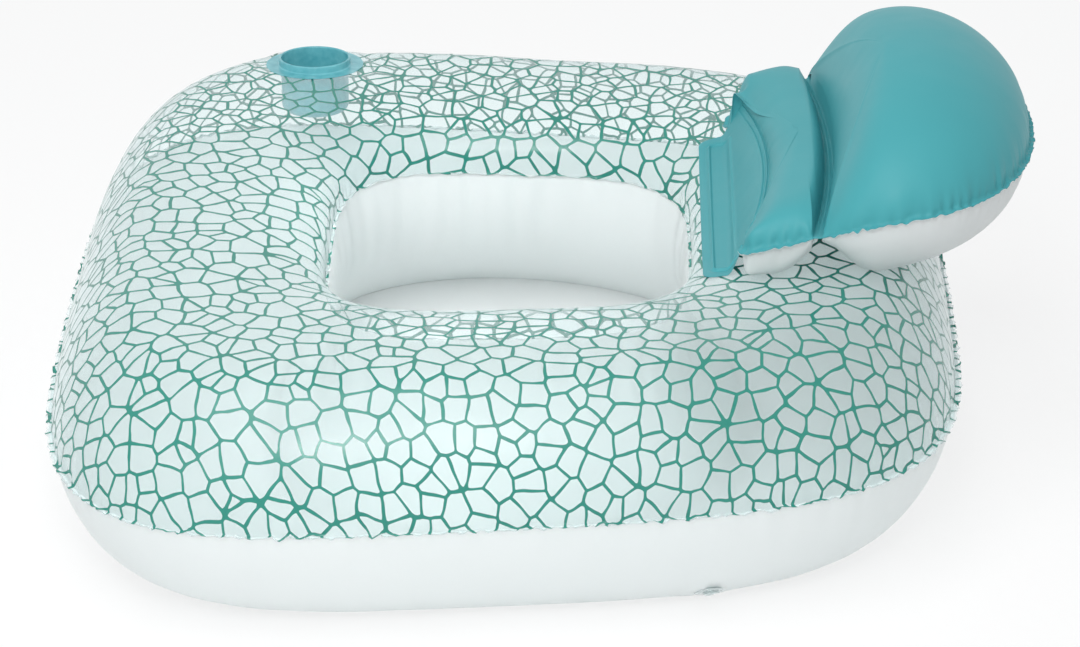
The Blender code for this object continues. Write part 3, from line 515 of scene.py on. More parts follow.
# %% [markdown]
# A flat sheet that is blown up has too much length along its seam, so it puckers
# there. Each pucker is a narrow valley that starts at the seam, widens and fades.
# Their places are drawn by chance from a fixed seed, and corners get deeper ones.

# %% Puckers and ruffles


def draw_puckers(seed, length, spacing, depth, reach, weight):
    """Place, depth, half width and reach of each pucker along a seam."""
    chance = np.random.default_rng(seed)
    found = []
    place = 0.0
    while place < length - 0.3 * spacing:
        size = chance.uniform(0.3, 1.0)
        here = float(weight(place / length))
        found.append((place, depth * size * here, spacing * chance.uniform(0.16, 0.30),
                      reach * (0.35 + 0.65 * size) * (0.4 + 0.6 * here)))
        place += spacing * chance.uniform(0.45, 1.55)
    return found


def pucker_depth(puckers, length, along, inward):
    """Depth of all puckers at places along a closed seam and inward from it."""
    total = np.zeros(np.broadcast(along, inward).shape)
    for place, depth, width, reach in puckers:
        apart = (along - place + length / 2.0) % length - length / 2.0
        spread = width * (1.0 + 1.6 * inward / reach)
        total += depth * np.exp(-(apart / spread) ** 2 - (inward / reach) ** 1.3)
    return total


def ruffle(seed, turns, length, shortest, height):
    """A closed wave of uneven length along a seam; turns run from 0 to 1."""
    chance = np.random.default_rng(seed)
    most = int(length / shortest)
    total = np.zeros(np.shape(turns))
    for _ in range(28):
        waves = chance.integers(most // 4, most)
        total += np.sin(2.0 * math.pi * (turns * waves + chance.uniform()))
    return total * height / math.sqrt(14.0)


# %% [markdown]
# A sheet is first a grid of places with a row for each step along its section. Its
# rows are spread again so that they lie close where the sheet is tightly curved, and
# the puckers are pressed in along its normals.

# %% Grids of places


def arc_lengths(places):
    """Distance from the first row of a grid, down each of its columns."""
    steps = np.linalg.norm(np.diff(places, axis=0), axis=2)
    return np.concatenate([np.zeros((1, places.shape[1])), np.cumsum(steps, axis=0)])


def grid_normals(places):
    """Unit normals of a grid that is closed along its columns."""
    along = np.roll(places, -1, axis=1) - np.roll(places, 1, axis=1)
    normal = np.cross(along, np.gradient(places, axis=0))
    return normal / np.maximum(np.linalg.norm(normal, axis=2, keepdims=True), 1e-12)


def crowded(count, crowd=0.80):
    """Even steps from 0 to 1, drawn together at both ends."""
    even = np.linspace(0.0, 1.0, count)
    return even - crowd * np.sin(2.0 * math.pi * even) / (2.0 * math.pi)


def resample(places, shares):
    """The same columns with new rows, at shares of their length."""
    run = arc_lengths(places)
    made = np.empty((len(shares), places.shape[1], 3))
    for column in range(places.shape[1]):
        wanted = shares * run[-1, column]
        for axis in range(3):
            made[:, column, axis] = np.interp(wanted, run[:, column], places[:, column, axis])
    return made


def ring_rows(profile, angles):
    """A grid of places from rows of share and height; both may change with the angle."""
    rows = []
    for share, height in profile:
        x, y = ring_place(angles, share)
        rows.append(np.stack([x, y, np.broadcast_to(height, x.shape)], axis=1))
    return np.array(rows)


# %% [markdown]
# Top and bottom sheet of the ring are welded to each other, so they share the places
# of their puckers and the waves of both seams, and each one keeps its own side of a
# seam. The weld edge goes on past the seam as a flat strip of both sheets.

# %% Seams of the ring
CORNER_WEIGHT = 0.35
SEAM_LENGTH = 4.3         # a round figure for a seam's length in metres, which only spaces its folds
OUTER_PUCKER = (0.021, 0.0036, 0.050)   # spacing, depth and reach
INNER_PUCKER = (0.052, 0.0026, 0.040)
# Seed, shortest wave and height of the waves that both sheets of the ring share: up
# and out at the outer seam, up and down at its edge and at the inner edge
SHARED_WAVES = ((21, 0.016, 0.0006), (22, 0.018, 0.0005), (24, 0.011, 0.0009), (23, 0.060, 0.0008))
SEAM_FADE = 0.014         # the waves of the outer seam fade within this length of sheet
HALF_GAP = SHEET + PLAY / 2.0   # each sheet keeps this far from the middle of a seam


def corner_weight(turn):
    """Puckers are deepest where the ring turns its corners."""
    angle = np.interp(turn, np.linspace(0.0, 1.0, len(all_angles)), all_angles)
    return CORNER_WEIGHT + (1.0 - CORNER_WEIGHT) * np.abs(np.sin(2.0 * angle)) ** 1.5


def ring_columns(count):
    """Columns evenly spaced round the crest: angle, turn, way out and shared waves."""
    angles = even_angles(count, CREST_SHARE)[0]
    turns = np.arange(count) / count
    out = np.stack(ring_place(angles, 0.0), axis=1) - np.stack(ring_place(angles, 1.0), axis=1)
    out = np.append(out / np.linalg.norm(out, axis=1, keepdims=True), np.zeros((count, 1)), axis=1)
    return angles, turns, out, [ruffle(seed, turns, SEAM_LENGTH, *wave) for seed, *wave in SHARED_WAVES]


def weld_edges(rows, out, outer_width, inner_width):
    """Two rows more at each end of a sheet, for its flat weld edges."""
    return ([rows[0] + out * share * outer_width for share in (1.0, 0.5)],
            [rows[-1] - out * share * inner_width for share in (0.5, 1.0)])


all_angles = np.append(even_angles(2000, CREST_SHARE)[0], 2.0 * math.pi)
outer_puckers = draw_puckers(11, SEAM_LENGTH, *OUTER_PUCKER, corner_weight)
inner_puckers = draw_puckers(12, SEAM_LENGTH, *INNER_PUCKER, corner_weight)
print("puckers", len(outer_puckers), "outside and", len(inner_puckers), "inside")

# %% [markdown]
# Under the cup and under a valve a sheet lies flat and has a round hole. The sheet is
# drawn onto the plane of the flange first, and goes back softly to its own shape.

# %% Flat spots and round holes


def smooth(value):
    value = np.clip(value, 0.0, 1.0)
    return value * value * (3.0 - 2.0 * value)


def draw_flat(places, apart, centre, normal, flat, fade):
    """Draw a sheet onto a plane where it is less than flat apart, and let it go by fade."""
    centre, normal = np.array(centre), np.array(normal)
    weight = smooth((fade - apart) / (fade - flat))
    return places - (((places - centre) @ normal) * weight)[..., None] * normal


def round_hole(mesh, centre, normal, radius):
    """Open a sheet within a radius and lay the rim that is left on the circle."""
    bm = bmesh.new()
    bm.from_mesh(mesh)

    def spoke(vert):
        away = vert.co - centre
        return away - normal * away.dot(normal)

    near = [v for v in bm.verts if (v.co - centre).length < 3.0 * radius]
    gone = [v for v in near if spoke(v).length < radius]
    rim = {v for lost in gone for face in lost.link_faces for v in face.verts} - set(gone)
    bmesh.ops.delete(bm, geom=gone, context="VERTS")
    for vert in rim:
        away = spoke(vert)
        vert.co += away.normalized() * radius - away
    bm.to_mesh(mesh)
    bm.free()


# %% [markdown]
# The section of the top sheet rises from the outer seam to the crest and falls to
# the inner seam. It is drawn densely first, and its rows are spread afterwards.
# The print's flat layout is the sheet unrolled: the crest's place in plan, moved
# outwards by the length of sheet from the crest.

# %% Top sheet of the ring
TOP_COLUMNS = 860
TOP_ROWS = 44
FILM_EDGE = 0.0075        # clear weld edge outside the seam
EDGE_WAVE = (25, 0.009, 0.0006)   # seed, shortest wave and height of the cut edge's own wave
FILM_INNER_EDGE, FILM_INNER_DIP = 0.0035, 0.0004   # width of the inner weld edge, and how far it dips
FILM_SWELL, FILM_SWELL_WIDTH = 0.0012, 0.30   # slow waves over the whole sheet
CUP_X, CUP_Y = -0.267, 0.434
CUP_TILT = math.radians(5.0)
CUP_SINK = 0.004
CUP_RADIUS = 0.044
CUP_FLANGE_RADIUS = 0.0635
CUP_CLEAR = 0.0001        # gap between the film and the plane of the cup
CUP_HOLE = 0.0018         # the hole in the film is this much wider than the cup
CUP_FLAT, CUP_FADE = 0.003, 0.030   # past the flange: how far the film is flat, and where that ends


def top_profile():
    quarter = np.linspace(0.0, math.pi / 2.0, 120)
    shares = [CREST_SHARE * (1.0 - math.cos(t) ** (2.0 / OUTER_SLOPE_POWER)) for t in quarter]
    shares += [CREST_SHARE + (1.0 - CREST_SHARE) * math.sin(t) ** (2.0 / INNER_SLOPE_POWER) for t in quarter[1:]]
    return [(share, float(top_height(np.array(share)))) for share in shares]


angles, turns, out, waves = ring_columns(TOP_COLUMNS)
along = (turns * SEAM_LENGTH)[None]
top = resample(ring_rows(top_profile(), angles), crowded(TOP_ROWS))
run = arc_lengths(top)
crest_row = int(np.argmax(top[:, 0, 2]))
from_crest = run[crest_row][None, :] - run
layout = top[crest_row, :, :2][None] + out[None, :, :2] * from_crest[..., None]
drop = pucker_depth(outer_puckers, SEAM_LENGTH, along, run)
drop += pucker_depth(inner_puckers, SEAM_LENGTH, along, run[-1][None] - run)
swell = FILM_SWELL * np.sin(7.0 * layout[..., 0] / FILM_SWELL_WIDTH)
swell = swell * np.sin(6.0 * layout[..., 1] / FILM_SWELL_WIDTH + 1.0)
near_seam = np.exp(-run / SEAM_FADE)
top += grid_normals(top) * (swell * np.sin(math.pi * run / run[-1]) - drop)[..., None]
top[..., 2] += near_seam * waves[0] + HALF_GAP
top += out[None] * (near_seam * waves[1])[..., None]
outer_edge, inner_edge = weld_edges(top, out, FILM_EDGE, FILM_INNER_EDGE)
edge_length = ruffle(EDGE_WAVE[0], turns, SEAM_LENGTH, *EDGE_WAVE[1:])
for row, share in zip(outer_edge, (1.0, 0.5)):
    row[:, 2] += waves[2] * share
    row += out * (edge_length * share)[:, None]
for row in inner_edge:
    row[:, 2] += waves[3] - FILM_INNER_DIP
flat_outer, flat_inner = weld_edges(layout, out[:, :2], FILM_EDGE, FILM_INNER_EDGE)
top = np.concatenate([outer_edge, top, inner_edge])
layout = np.concatenate([flat_outer, layout, flat_inner])

cup_normal = Vector((0.0, math.sin(CUP_TILT), math.cos(CUP_TILT)))
cup_place = Vector((CUP_X, CUP_Y, float(ring_top(CUP_X, CUP_Y)) - CUP_SINK))
film_under_cup = cup_place + cup_normal * CUP_CLEAR
from_cup = np.linalg.norm(top[..., :2] - np.array(film_under_cup)[:2], axis=-1)
top = draw_flat(top, from_cup, film_under_cup, cup_normal,
                CUP_FLANGE_RADIUS + CUP_FLAT, CUP_FLANGE_RADIUS + CUP_FADE)
film_sheet = sheet_object("ring_printed_top", top, printed_film, up=True, layout=layout)
round_hole(film_sheet.data, film_under_cup + Vector((RING_X, 0.0, 0.0)), cup_normal, CUP_RADIUS + CUP_HOLE)
give_gauge(film_sheet)
dress(film_sheet, ["ring_top_sheet"], "ring")
print("top sheet", len(film_sheet.data.polygons), "faces, section", round(float(run[-1].mean()), 3), "m")

# %% [markdown]
# The white sheet makes the underside and the wall of the well in one. It comes down
# from the outer seam, lies on the ground, curves up to the weld with the floor and
# rises to the inner seam. It shares the ruffle of the outer seam with the top sheet.

# %% Bottom sheet of the ring
BOTTOM_COLUMNS = 760
UNDER_ROWS = 30
WALL_ROWS = 20
WHITE_EDGE = 0.0045
WHITE_INNER_EDGE, WHITE_INNER_DIP = 0.0020, 0.0005
FOOT_CURVE_POWER = 2.5
UNDER_PUCKER, WALL_PUCKER = 0.55, 0.7   # depth of the puckers of a seam here, against the top sheet
WALL_FOLD, WALL_FOLD_WIDTH, WALL_FOLD_REACH = 0.0013, 0.075, 0.10


def under_profile(angles):
    """From the outer seam, over the flat part, to the weld with the floor."""
    profile = []
    for t in np.linspace(0.0, math.pi / 2.0, 90):
        share = FLAT_START_SHARE * (1.0 - math.cos(t) ** (2.0 / UNDERSIDE_POWER))
        profile.append((share, OUTER_SEAM_Z * (1.0 - math.sin(t) ** (2.0 / UNDERSIDE_POWER))))
    seat = floor_share(angles)
    for u in np.linspace(0.0, 1.0, 50):
        profile.append((seat - FLAT_INSET_SHARE * (1.0 - u), FLOOR_HEIGHT * u ** FOOT_CURVE_POWER))
    return profile


def wall_profile(angles):
    """From the floor weld up to the inner seam, bulging a little into the well."""
    seat = floor_share(angles)
    profile = []
    for down in np.linspace(1.0, 0.0, 70):
        share = 1.0 + (seat - 1.0) * down ** WALL_CURVE_POWER + WALL_BULGE_SHARE * math.sin(math.pi * down)
        profile.append((share, FLOOR_HEIGHT + (INNER_SEAM_Z - FLOOR_HEIGHT) * (1.0 - down)))
    return profile


angles, turns, out, waves = ring_columns(BOTTOM_COLUMNS)
along = (turns * SEAM_LENGTH)[None]
under = resample(ring_rows(under_profile(angles), angles), crowded(UNDER_ROWS, 0.6))
wall = resample(ring_rows(wall_profile(angles), angles), crowded(WALL_ROWS, 0.6))
run, up_run = arc_lengths(under), arc_lengths(wall)
from_top = up_run[-1][None] - up_run
under += grid_normals(under) * (UNDER_PUCKER * pucker_depth(outer_puckers, SEAM_LENGTH, along, run * 0.8))[..., None]
near_seam = np.exp(-run / SEAM_FADE)
under[..., 2] += near_seam * waves[0]
under += out[None] * (near_seam * waves[1])[..., None]
under[..., 2] = np.maximum(under[..., 2], 0.0) - HALF_GAP * near_seam
folds = WALL_FOLD * ruffle(31, turns, SEAM_LENGTH, WALL_FOLD_WIDTH, 1.0)[None]
folds = folds * np.exp(-(from_top / WALL_FOLD_REACH) ** 2)
folds += pucker_depth(inner_puckers, SEAM_LENGTH, along, from_top) * WALL_PUCKER
wall += out[None] * (folds * np.clip(up_run / 0.03, 0.0, 1.0))[..., None]
wall[..., 2] -= HALF_GAP * np.exp(-from_top / 0.010)
white = np.concatenate([under, wall[1:]])
outer_edge, inner_edge = weld_edges(white, out, WHITE_EDGE, WHITE_INNER_EDGE)
for row, share in zip(outer_edge, (1.0, 0.5)):
    row[:, 2] += waves[2] * share * WHITE_EDGE / FILM_EDGE
for row in inner_edge:
    row[:, 2] += waves[3] - WHITE_INNER_DIP
white = np.concatenate([outer_edge, white, inner_edge])

# %% [markdown]
# A valve's place and its way out come from its joints, so it turns about the same
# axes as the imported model. The ring's valve sits low on the underside.

# %% Seats of the valves
EAR_REACH = 0.012
VALVE_FLANGE = 0.0010
VALVE_FLANGE_RADIUS = 0.017
STEM_RADIUS = 0.0060
STEM_PROUD = 0.0016
VALVE_HOLE = STEM_RADIUS + 0.0012


def valve_frame(prefix):
    """The middle of a valve's flange, its way out and the way to its plug's hinge."""
    out = Vector(joints[prefix + "_stem_slide"]["axis"])
    across = Vector(joints[prefix + "_plug_hinge"]["axis"])
    toward = across.cross(out).normalized()
    hinge = Vector(joints[prefix + "_plug_hinge"]["pos_m"])
    return hinge - toward * EAR_REACH - out * (VALVE_FLANGE + STEM_PROUD + PLAY / 2.0), out, toward


def flatten_low(places, prefix):
    """Draw a sheet flat under a valve's flange."""
    seat, out, _ = valve_frame(prefix)
    centre = seat - out * PLAY - Vector((RING_X, 0.0, 0.0))
    apart = np.linalg.norm(places - np.array(centre + out * PLAY), axis=-1)
    return draw_flat(places, apart, centre, out, 1.15 * VALVE_FLANGE_RADIUS, 2.6 * VALVE_FLANGE_RADIUS)


def valve_hole(item, prefix):
    seat, out, _ = valve_frame(prefix)
    round_hole(item.data, seat - out * PLAY, out, VALVE_HOLE)


ring_under = sheet_object("ring_white_bottom", flatten_low(white, "ring_valve"), white_pvc, up=False)
valve_hole(ring_under, "ring_valve")
give_gauge(ring_under)
dress(ring_under, ["ring_bottom_sheet"], "ring")
print("bottom sheet", len(ring_under.data.polygons), "faces, underside", round(float(run[-1].mean()), 3),
      "m and wall", round(float(up_run[-1].mean()), 3), "m from weld to weld")

# %% [markdown]
# The seat floor is one white sheet welded to the foot of the wall. The sitter's
# weight and the water have dished it. Six round drain holes are punched in it, and
# they are cut here with an exact Boolean, after the sheet has got its gauge.

# %% Seat floor
FLOOR_COLUMNS = 240
FLOOR_ROWS = 26
DRAIN_RADIUS = 0.020
DRAIN_PITCH_X, DRAIN_PITCH_Y = 0.111, 0.228
DRAIN_CENTRE_X = -0.060
PUNCH_DEPTH = 0.06
FLOOR_RIM = 1.6           # a round figure for its rim in metres, which only spaces its ripple
FLOOR_RIPPLE = 0.0011

angles = np.linspace(0.0, 2.0 * math.pi, FLOOR_COLUMNS, endpoint=False)
rim_x, rim_y = ring_place(angles, floor_share(angles), -SHEET - PLAY)
rows = []
for reach in np.cos(np.linspace(0.0, math.pi / 2.0, FLOOR_ROWS + 1))[:-1]:
    ripple = FLOOR_RIPPLE * ruffle(41, angles / (2.0 * math.pi), FLOOR_RIM, 0.07, 1.0)
    ripple = ripple * reach ** 6 * (1.0 - reach) * 9.0
    height = FLOOR_HEIGHT - FLOOR_SAG * (1.0 - reach ** 2) + ripple
    rows.append(np.stack([rim_x * reach, rim_y * reach, height], axis=1))
seat_floor = sheet_object("seat_floor_sheet", np.array(rows), white_pvc, up=True,
                          pole=(0.0, 0.0, FLOOR_HEIGHT - FLOOR_SAG))
give_gauge(seat_floor)

bpy.ops.object.select_all(action="DESELECT")
bpy.ops.mesh.primitive_cylinder_add(vertices=64, radius=DRAIN_RADIUS, depth=PUNCH_DEPTH,
                                    location=(0.0, 0.0, FLOOR_HEIGHT))
punch = bpy.context.active_object
bpy.ops.object.mode_set(mode="EDIT")
bpy.ops.mesh.select_all(action="SELECT")
start = Vector((RING_X + DRAIN_CENTRE_X - DRAIN_PITCH_X / 2.0, -DRAIN_PITCH_Y, 0.0))
bpy.ops.transform.translate(value=start)
for step in ((0.0, 1.0), (0.0, 1.0), (1.0, 0.0), (0.0, -1.0), (0.0, -1.0)):
    move = (step[0] * DRAIN_PITCH_X, step[1] * DRAIN_PITCH_Y, 0.0)
    bpy.ops.mesh.duplicate_move(TRANSFORM_OT_translate={"value": move})
bpy.ops.object.mode_set(mode="OBJECT")
modify(seat_floor, "drain_holes", "BOOLEAN", operation="DIFFERENCE", solver="EXACT", object=punch)
bpy.data.objects.remove(punch)
dress(seat_floor, ["seat_floor"], "ring")
print("seat floor", round(float(np.ptp(rim_x)), 3), "x", round(float(np.ptp(rim_y)), 3), "m with 6 drain holes")

# %% [markdown]
# Round moulded pieces are turned: a profile is drawn as a chain of points by
# extruding one vertex, and Spin carries it round the axis. The piece is made at the
# origin with its axis upright, then its mesh is turned and moved to its seat.

# %% Turning
SMOOTH_BELOW = math.radians(38.0)
WELD_DISTANCE = 0.00001


def standing(seat, out, toward):
    """The matrix that stands a piece on its seat, with its axis pointing out."""
    turn = Matrix((toward, out.cross(toward), out)).transposed().to_4x4()
    return Matrix.Translation(seat) @ turn


def turned(name, profile, seat, out, toward, look, steps=64, bevel=0.0):
    """A closed body of revolution from a closed profile of radius and height."""
    bpy.ops.object.select_all(action="DESELECT")
    bpy.ops.mesh.primitive_plane_add(size=0.001, location=(0.0, 0.0, 0.0))
    made = bpy.context.active_object
    made.name = made.data.name = name
    bpy.ops.object.mode_set(mode="EDIT")
    bpy.ops.mesh.merge(type="CENTER")
    bpy.ops.transform.translate(value=(profile[0][0], 0.0, profile[0][1]))
    for before, after in zip(profile, profile[1:] + profile[:1]):
        step = (after[0] - before[0], 0.0, after[1] - before[1])
        bpy.ops.mesh.extrude_vertices_move(TRANSFORM_OT_translate={"value": step})
    bpy.ops.mesh.select_all(action="SELECT")
    bpy.ops.mesh.remove_doubles(threshold=WELD_DISTANCE)
    bpy.ops.mesh.select_all(action="SELECT")
    bpy.ops.mesh.spin(steps=steps, angle=2.0 * math.pi, center=(0.0, 0.0, 0.0), axis=(0.0, 0.0, 1.0))
    bpy.ops.mesh.select_all(action="SELECT")
    bpy.ops.mesh.remove_doubles(threshold=WELD_DISTANCE)
    bpy.ops.mesh.normals_make_consistent(inside=False)
    bpy.ops.object.mode_set(mode="OBJECT")
    if bevel > 0.0:
        modify(made, "edge", "BEVEL", width=bevel, segments=2, limit_method="ANGLE", angle_limit=math.radians(40.0))
    only(made)
    bpy.ops.object.shade_smooth_by_angle(angle=SMOOTH_BELOW)
    made.data.transform(standing(seat, out, toward))
    made.data.materials.append(look)
    return made


# %% [markdown]
# The cup holder is a deep-drawn pocket: a flat flange that is welded to the top
# sheet, a rounded lip that stands over it, and a straight wall with a round foot.
# The wall of a drawn pocket has faint rings, where the sheet slid over the tool.

# %% Cup holder
CUP_DEPTH = 0.062
CUP_CORNER = 0.010
CUP_WALL = 0.0007
LIP_HEIGHT = 0.010
LIP_WIDTH = 0.0025
DRAW_RING = (0.036, 0.004, 0.0003)   # depth, half width and height of the ring in the wall
LIP_FOOT = 0.0020         # height at which the lip leaves its foot


def arc_profile(centre_r, centre_z, radius, start, end, steps):
    """Points on an arc of a profile, from one angle in degrees to another."""
    found = []
    for step in range(steps + 1):
        angle = math.radians(start + (end - start) * step / steps)
        found.append((centre_r + radius * math.cos(angle), centre_z + radius * math.sin(angle)))
    return found


foot_centre = (CUP_RADIUS - CUP_CORNER, CUP_CORNER - CUP_DEPTH)
flange_top = SHEET * 1.6
profile = [(0.0, -CUP_DEPTH), *arc_profile(*foot_centre, CUP_CORNER, -90.0, 0.0, 8)]
ring_down, ring_half, ring_out = DRAW_RING
profile += [(CUP_RADIUS, -ring_down - ring_half), (CUP_RADIUS + ring_out, -ring_down),
            (CUP_RADIUS, -ring_down + ring_half)]
profile += [(CUP_RADIUS, 0.0), (CUP_FLANGE_RADIUS, 0.0), (CUP_FLANGE_RADIUS, flange_top)]
profile += [(CUP_RADIUS + LIP_WIDTH + 0.0022, flange_top), (CUP_RADIUS + LIP_WIDTH + 0.0006, LIP_FOOT)]
profile += arc_profile(CUP_RADIUS + LIP_WIDTH / 2.0, LIP_HEIGHT - LIP_WIDTH / 2.0, (LIP_WIDTH + CUP_WALL) / 2.0,
                       0.0, 180.0, 10)
profile += [(CUP_RADIUS - CUP_WALL, 0.0), *arc_profile(*foot_centre, CUP_CORNER - CUP_WALL, 0.0, -90.0, 8)]
profile += [(0.0, CUP_WALL - CUP_DEPTH)]
cup_seat = cup_place + cup_normal * PLAY + Vector((RING_X, 0.0, 0.0))
cup = turned("cup_pocket", profile, cup_seat, cup_normal, Vector((1.0, 0.0, 0.0)), teal_film, steps=96)
dress(cup, ["cup_holder"], "ring")
print("cup", round(2000 * CUP_RADIUS), "mm wide,", round(1000 * CUP_DEPTH), "mm deep")

# %% [markdown]
# The backrest hangs on a flap: one teal sheet whose tab is welded to the ring along
# a long slot-shaped bead. Behind the fold it rises to the crescent-shaped front weld
# of the lumbar roll. First come the lines in plan that flap, roll and pillow share.

# %% Plan of the backrest
FOLD_X = joints["backrest_fold"]["pos_m"][0] - RING_X
FOLD_Z = joints["backrest_fold"]["pos_m"][2]
ROLL_FRONT_X = FOLD_X + 0.042
ROLL_SWEEP = 0.034
ROLL_HALF_WIDTH = 0.222
ROLL_FRONT_Z = RING_HEIGHT + 0.042
CREASE_X = FOLD_X + 0.092
CREASE_Z = joints["headrest_fold"]["pos_m"][2]
CREASE_HALF_WIDTH = 0.237
CREASE_BOW = 0.022
LOBE_DROOP = (0.004, 0.036)     # of the near and the far lobe
LOBE_TURN = ((0.202, 0.018), (0.1975, 0.010))   # where each begins to droop, and the width that this takes
DROOP_X = 0.296           # a lobe droops in front of this
LOBE_ROOT = 0.201         # half the width of the front weld


def roll_front_x(y):
    return ROLL_FRONT_X - ROLL_SWEEP * (y / ROLL_HALF_WIDTH) ** 2


def crease_x(y):
    return CREASE_X + CREASE_BOW * (1.0 - (y / CREASE_HALF_WIDTH) ** 2)


def roll_plane(x, y):
    """Height of the seam of the lumbar roll; it rises to the crease and droops at the lobes."""
    share = (x - ROLL_FRONT_X + ROLL_SWEEP) / (CREASE_X - ROLL_FRONT_X + ROLL_SWEEP)
    near, far = (smooth((np.abs(y) - begin) / width) for begin, width in LOBE_TURN)
    droop = np.where(y > 0.0, LOBE_DROOP[1] * far, LOBE_DROOP[0] * near) * smooth((DROOP_X - x) / 0.026)
    return ROLL_FRONT_Z + (CREASE_Z - ROLL_FRONT_Z) * np.clip(share, 0.0, 1.0) - droop


# %% [markdown]
# The flap is one grid from the front of the tab to the front weld of the roll. Its
# height starts on the ring and rises behind the fold. The bead, the lines of the weld
# and the pleats are added to it one by one.

# %% Flap
FLAP_FRONT_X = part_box("flap_tab")[0].x - RING_X
TAB_HALF_WIDTH = 0.199
TAB_MIDDLE = 0.008
FAR_FLARE = 0.010         # the far edge runs out under the lobe of the roll
TAB_CORNER = 0.015
FLAP_LIFT = 0.0011
BEAD, BEAD_WIDTH = 0.0027, 0.0019
GROOVE = 0.0006           # depth of the groove outside the bead
SLOT_INSET, SLOT_WIDTH, SLOT_CORNER = 0.0125, 0.0250, 0.008
SLOT_SHORT = 0.018        # how far the slot ends inside the edge of the tab
EDGE_SINK = 0.0006        # how far the edge of the tab is pressed into the ring
BRIDGE_SHARE, BRIDGE_Z = 0.3, 0.302     # the taut tab bridges the fall of the ring's top by this share
WELD_LINES = ((0.0022, 0.0030), (0.0018, 0.0085), (-0.0012, 0.0057))   # height, and distance to the roll
WELD_LINE_WIDTH = 0.0012
PLEAT, PLEAT_WIDTH = 0.0016, 0.0135
FLAP_ROWS, FLAP_COLUMNS = 130, 330


def slot_distance(x, y):
    """Distance to the outline of the welded slot, a long rectangle with round ends."""
    half_x, half_y = SLOT_WIDTH / 2.0, TAB_HALF_WIDTH - SLOT_SHORT
    dx = np.abs(x - FLAP_FRONT_X - SLOT_INSET - half_x) - half_x + SLOT_CORNER
    dy = np.abs(y - TAB_MIDDLE) - half_y + SLOT_CORNER
    outside = np.hypot(np.maximum(dx, 0.0), np.maximum(dy, 0.0))
    return outside + np.minimum(np.maximum(dx, dy), 0.0) - SLOT_CORNER


u = np.linspace(0.0, 1.0, FLAP_ROWS)[:, None]
v = np.linspace(-1.0, 1.0, FLAP_COLUMNS)[None, :]
v = np.sign(v) * (1.0 - (1.0 - np.abs(v)) ** 1.15)
back_y = LOBE_ROOT * v
back_x = roll_front_x(back_y) + 0.0006
x = FLAP_FRONT_X + (back_x - FLAP_FRONT_X) * u
ahead = np.clip((x - FLAP_FRONT_X) / TAB_CORNER, 0.0, 1.0)
half = TAB_HALF_WIDTH - TAB_CORNER * (1.0 - np.sqrt(ahead * (2.0 - ahead)))
y = half * v + TAB_MIDDLE
y = y + FAR_FLARE * np.clip(v, 0.0, 1.0) ** 3 * smooth((x - FLAP_FRONT_X - 0.005) / 0.040)
y = y + (back_y - y) * smooth((x - FOLD_X) / (back_x - FOLD_X)) * (1.0 - 0.8 * np.clip(v, 0.0, 1.0) ** 6)
below = ring_top(x, y)
lying = (1.0 - BRIDGE_SHARE) * below + BRIDGE_SHARE * np.maximum(below, BRIDGE_Z) + SHEET + FLAP_LIFT
rise = smooth((x - FOLD_X + 0.012) / (back_x - FOLD_X + 0.012))
z = lying + (roll_plane(back_x, back_y) - lying) * rise ** 1.15
z = np.maximum(z, lying)
from_slot = slot_distance(x, y)
z = z + BEAD * np.exp(-(from_slot / BEAD_WIDTH) ** 2)
z = z - GROOVE * np.exp(-((from_slot - 2.4 * BEAD_WIDTH) / BEAD_WIDTH) ** 2)
edge = np.minimum(half * (1.0 - np.abs(v)), x - FLAP_FRONT_X)
z = z - EDGE_SINK * np.exp(-np.maximum(edge, 0.0) / 0.003)
behind = back_x - x
for height, place in WELD_LINES:
    z = z + height * np.exp(-((behind - place) / WELD_LINE_WIDTH) ** 2)
pleats = PLEAT * np.sin((y + 0.25 * x) / PLEAT_WIDTH + 2.0 * np.sin(y / 0.05))
z = z + pleats * smooth((x - FOLD_X) / 0.01) * smooth(behind / 0.012) * smooth((np.abs(y) - 0.08) / 0.08)
flap = sheet_object("backrest_flap", np.stack(np.broadcast_arrays(x, y, z), axis=-1), teal_pvc, up=True, closed=False)
give_gauge(flap)
dress(flap, ["flap_tab", "flap_apron"])
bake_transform(flap)
print("fold", round(1000 * (FOLD_X - FLAP_FRONT_X)), "mm behind the front edge of the tab")
steps = np.sqrt(np.diff(x, axis=0) ** 2 + np.diff(y, axis=0) ** 2 + np.diff(z, axis=0) ** 2)
free = 1000 * np.where(x[1:] > FOLD_X, steps, 0.0).sum(axis=0)
print("free part", round(free[FLAP_COLUMNS // 2]), "mm in the middle and", round(free[4]), "mm at its ends")
print("flap", round(2000 * TAB_HALF_WIDTH), "mm wide, slot weld", round(1000 * SLOT_WIDTH), "mm wide")

# %% [markdown]
# A cushion is two sheets welded round their edge. A point of a skin is given by its
# place along the outline and its reach, 1 on the seam and 0 in the middle. Reach
# falls as a cosine, so rows are close together where the skin turns up steeply.
# Both skins share the ruffles of their seam, and each one has its own puckers. Where
# the seam is hidden by another sheet it lies still, and where it is loose it ruffles.

# %% Cushions
HIDDEN_EDGE = 0.0002      # weld edge where another sheet covers it
OVERLAP = 0.0012          # how far a teal skin laps over the sheet that it is welded to
ABOVE_RING = 0.0052       # a cushion that rests on the ring keeps this far from its top
SKIN_ROWS = 54
CUSHION_WAVES = ((0.012, 0.0007), (0.010, 0.0006), (0.008, 0.0007))   # shortest wave and height


def even_outline(points, count):
    """A closed outline cut into even steps; returns its points and its length."""
    loop = np.vstack([points, points[:1]])
    run = np.concatenate([[0.0], np.cumsum(np.linalg.norm(np.diff(loop, axis=0), axis=1))])
    wanted = np.linspace(0.0, run[-1], count, endpoint=False)
    return np.stack([np.interp(wanted, run, loop[:, 0]), np.interp(wanted, run, loop[:, 1])], axis=1), run[-1]


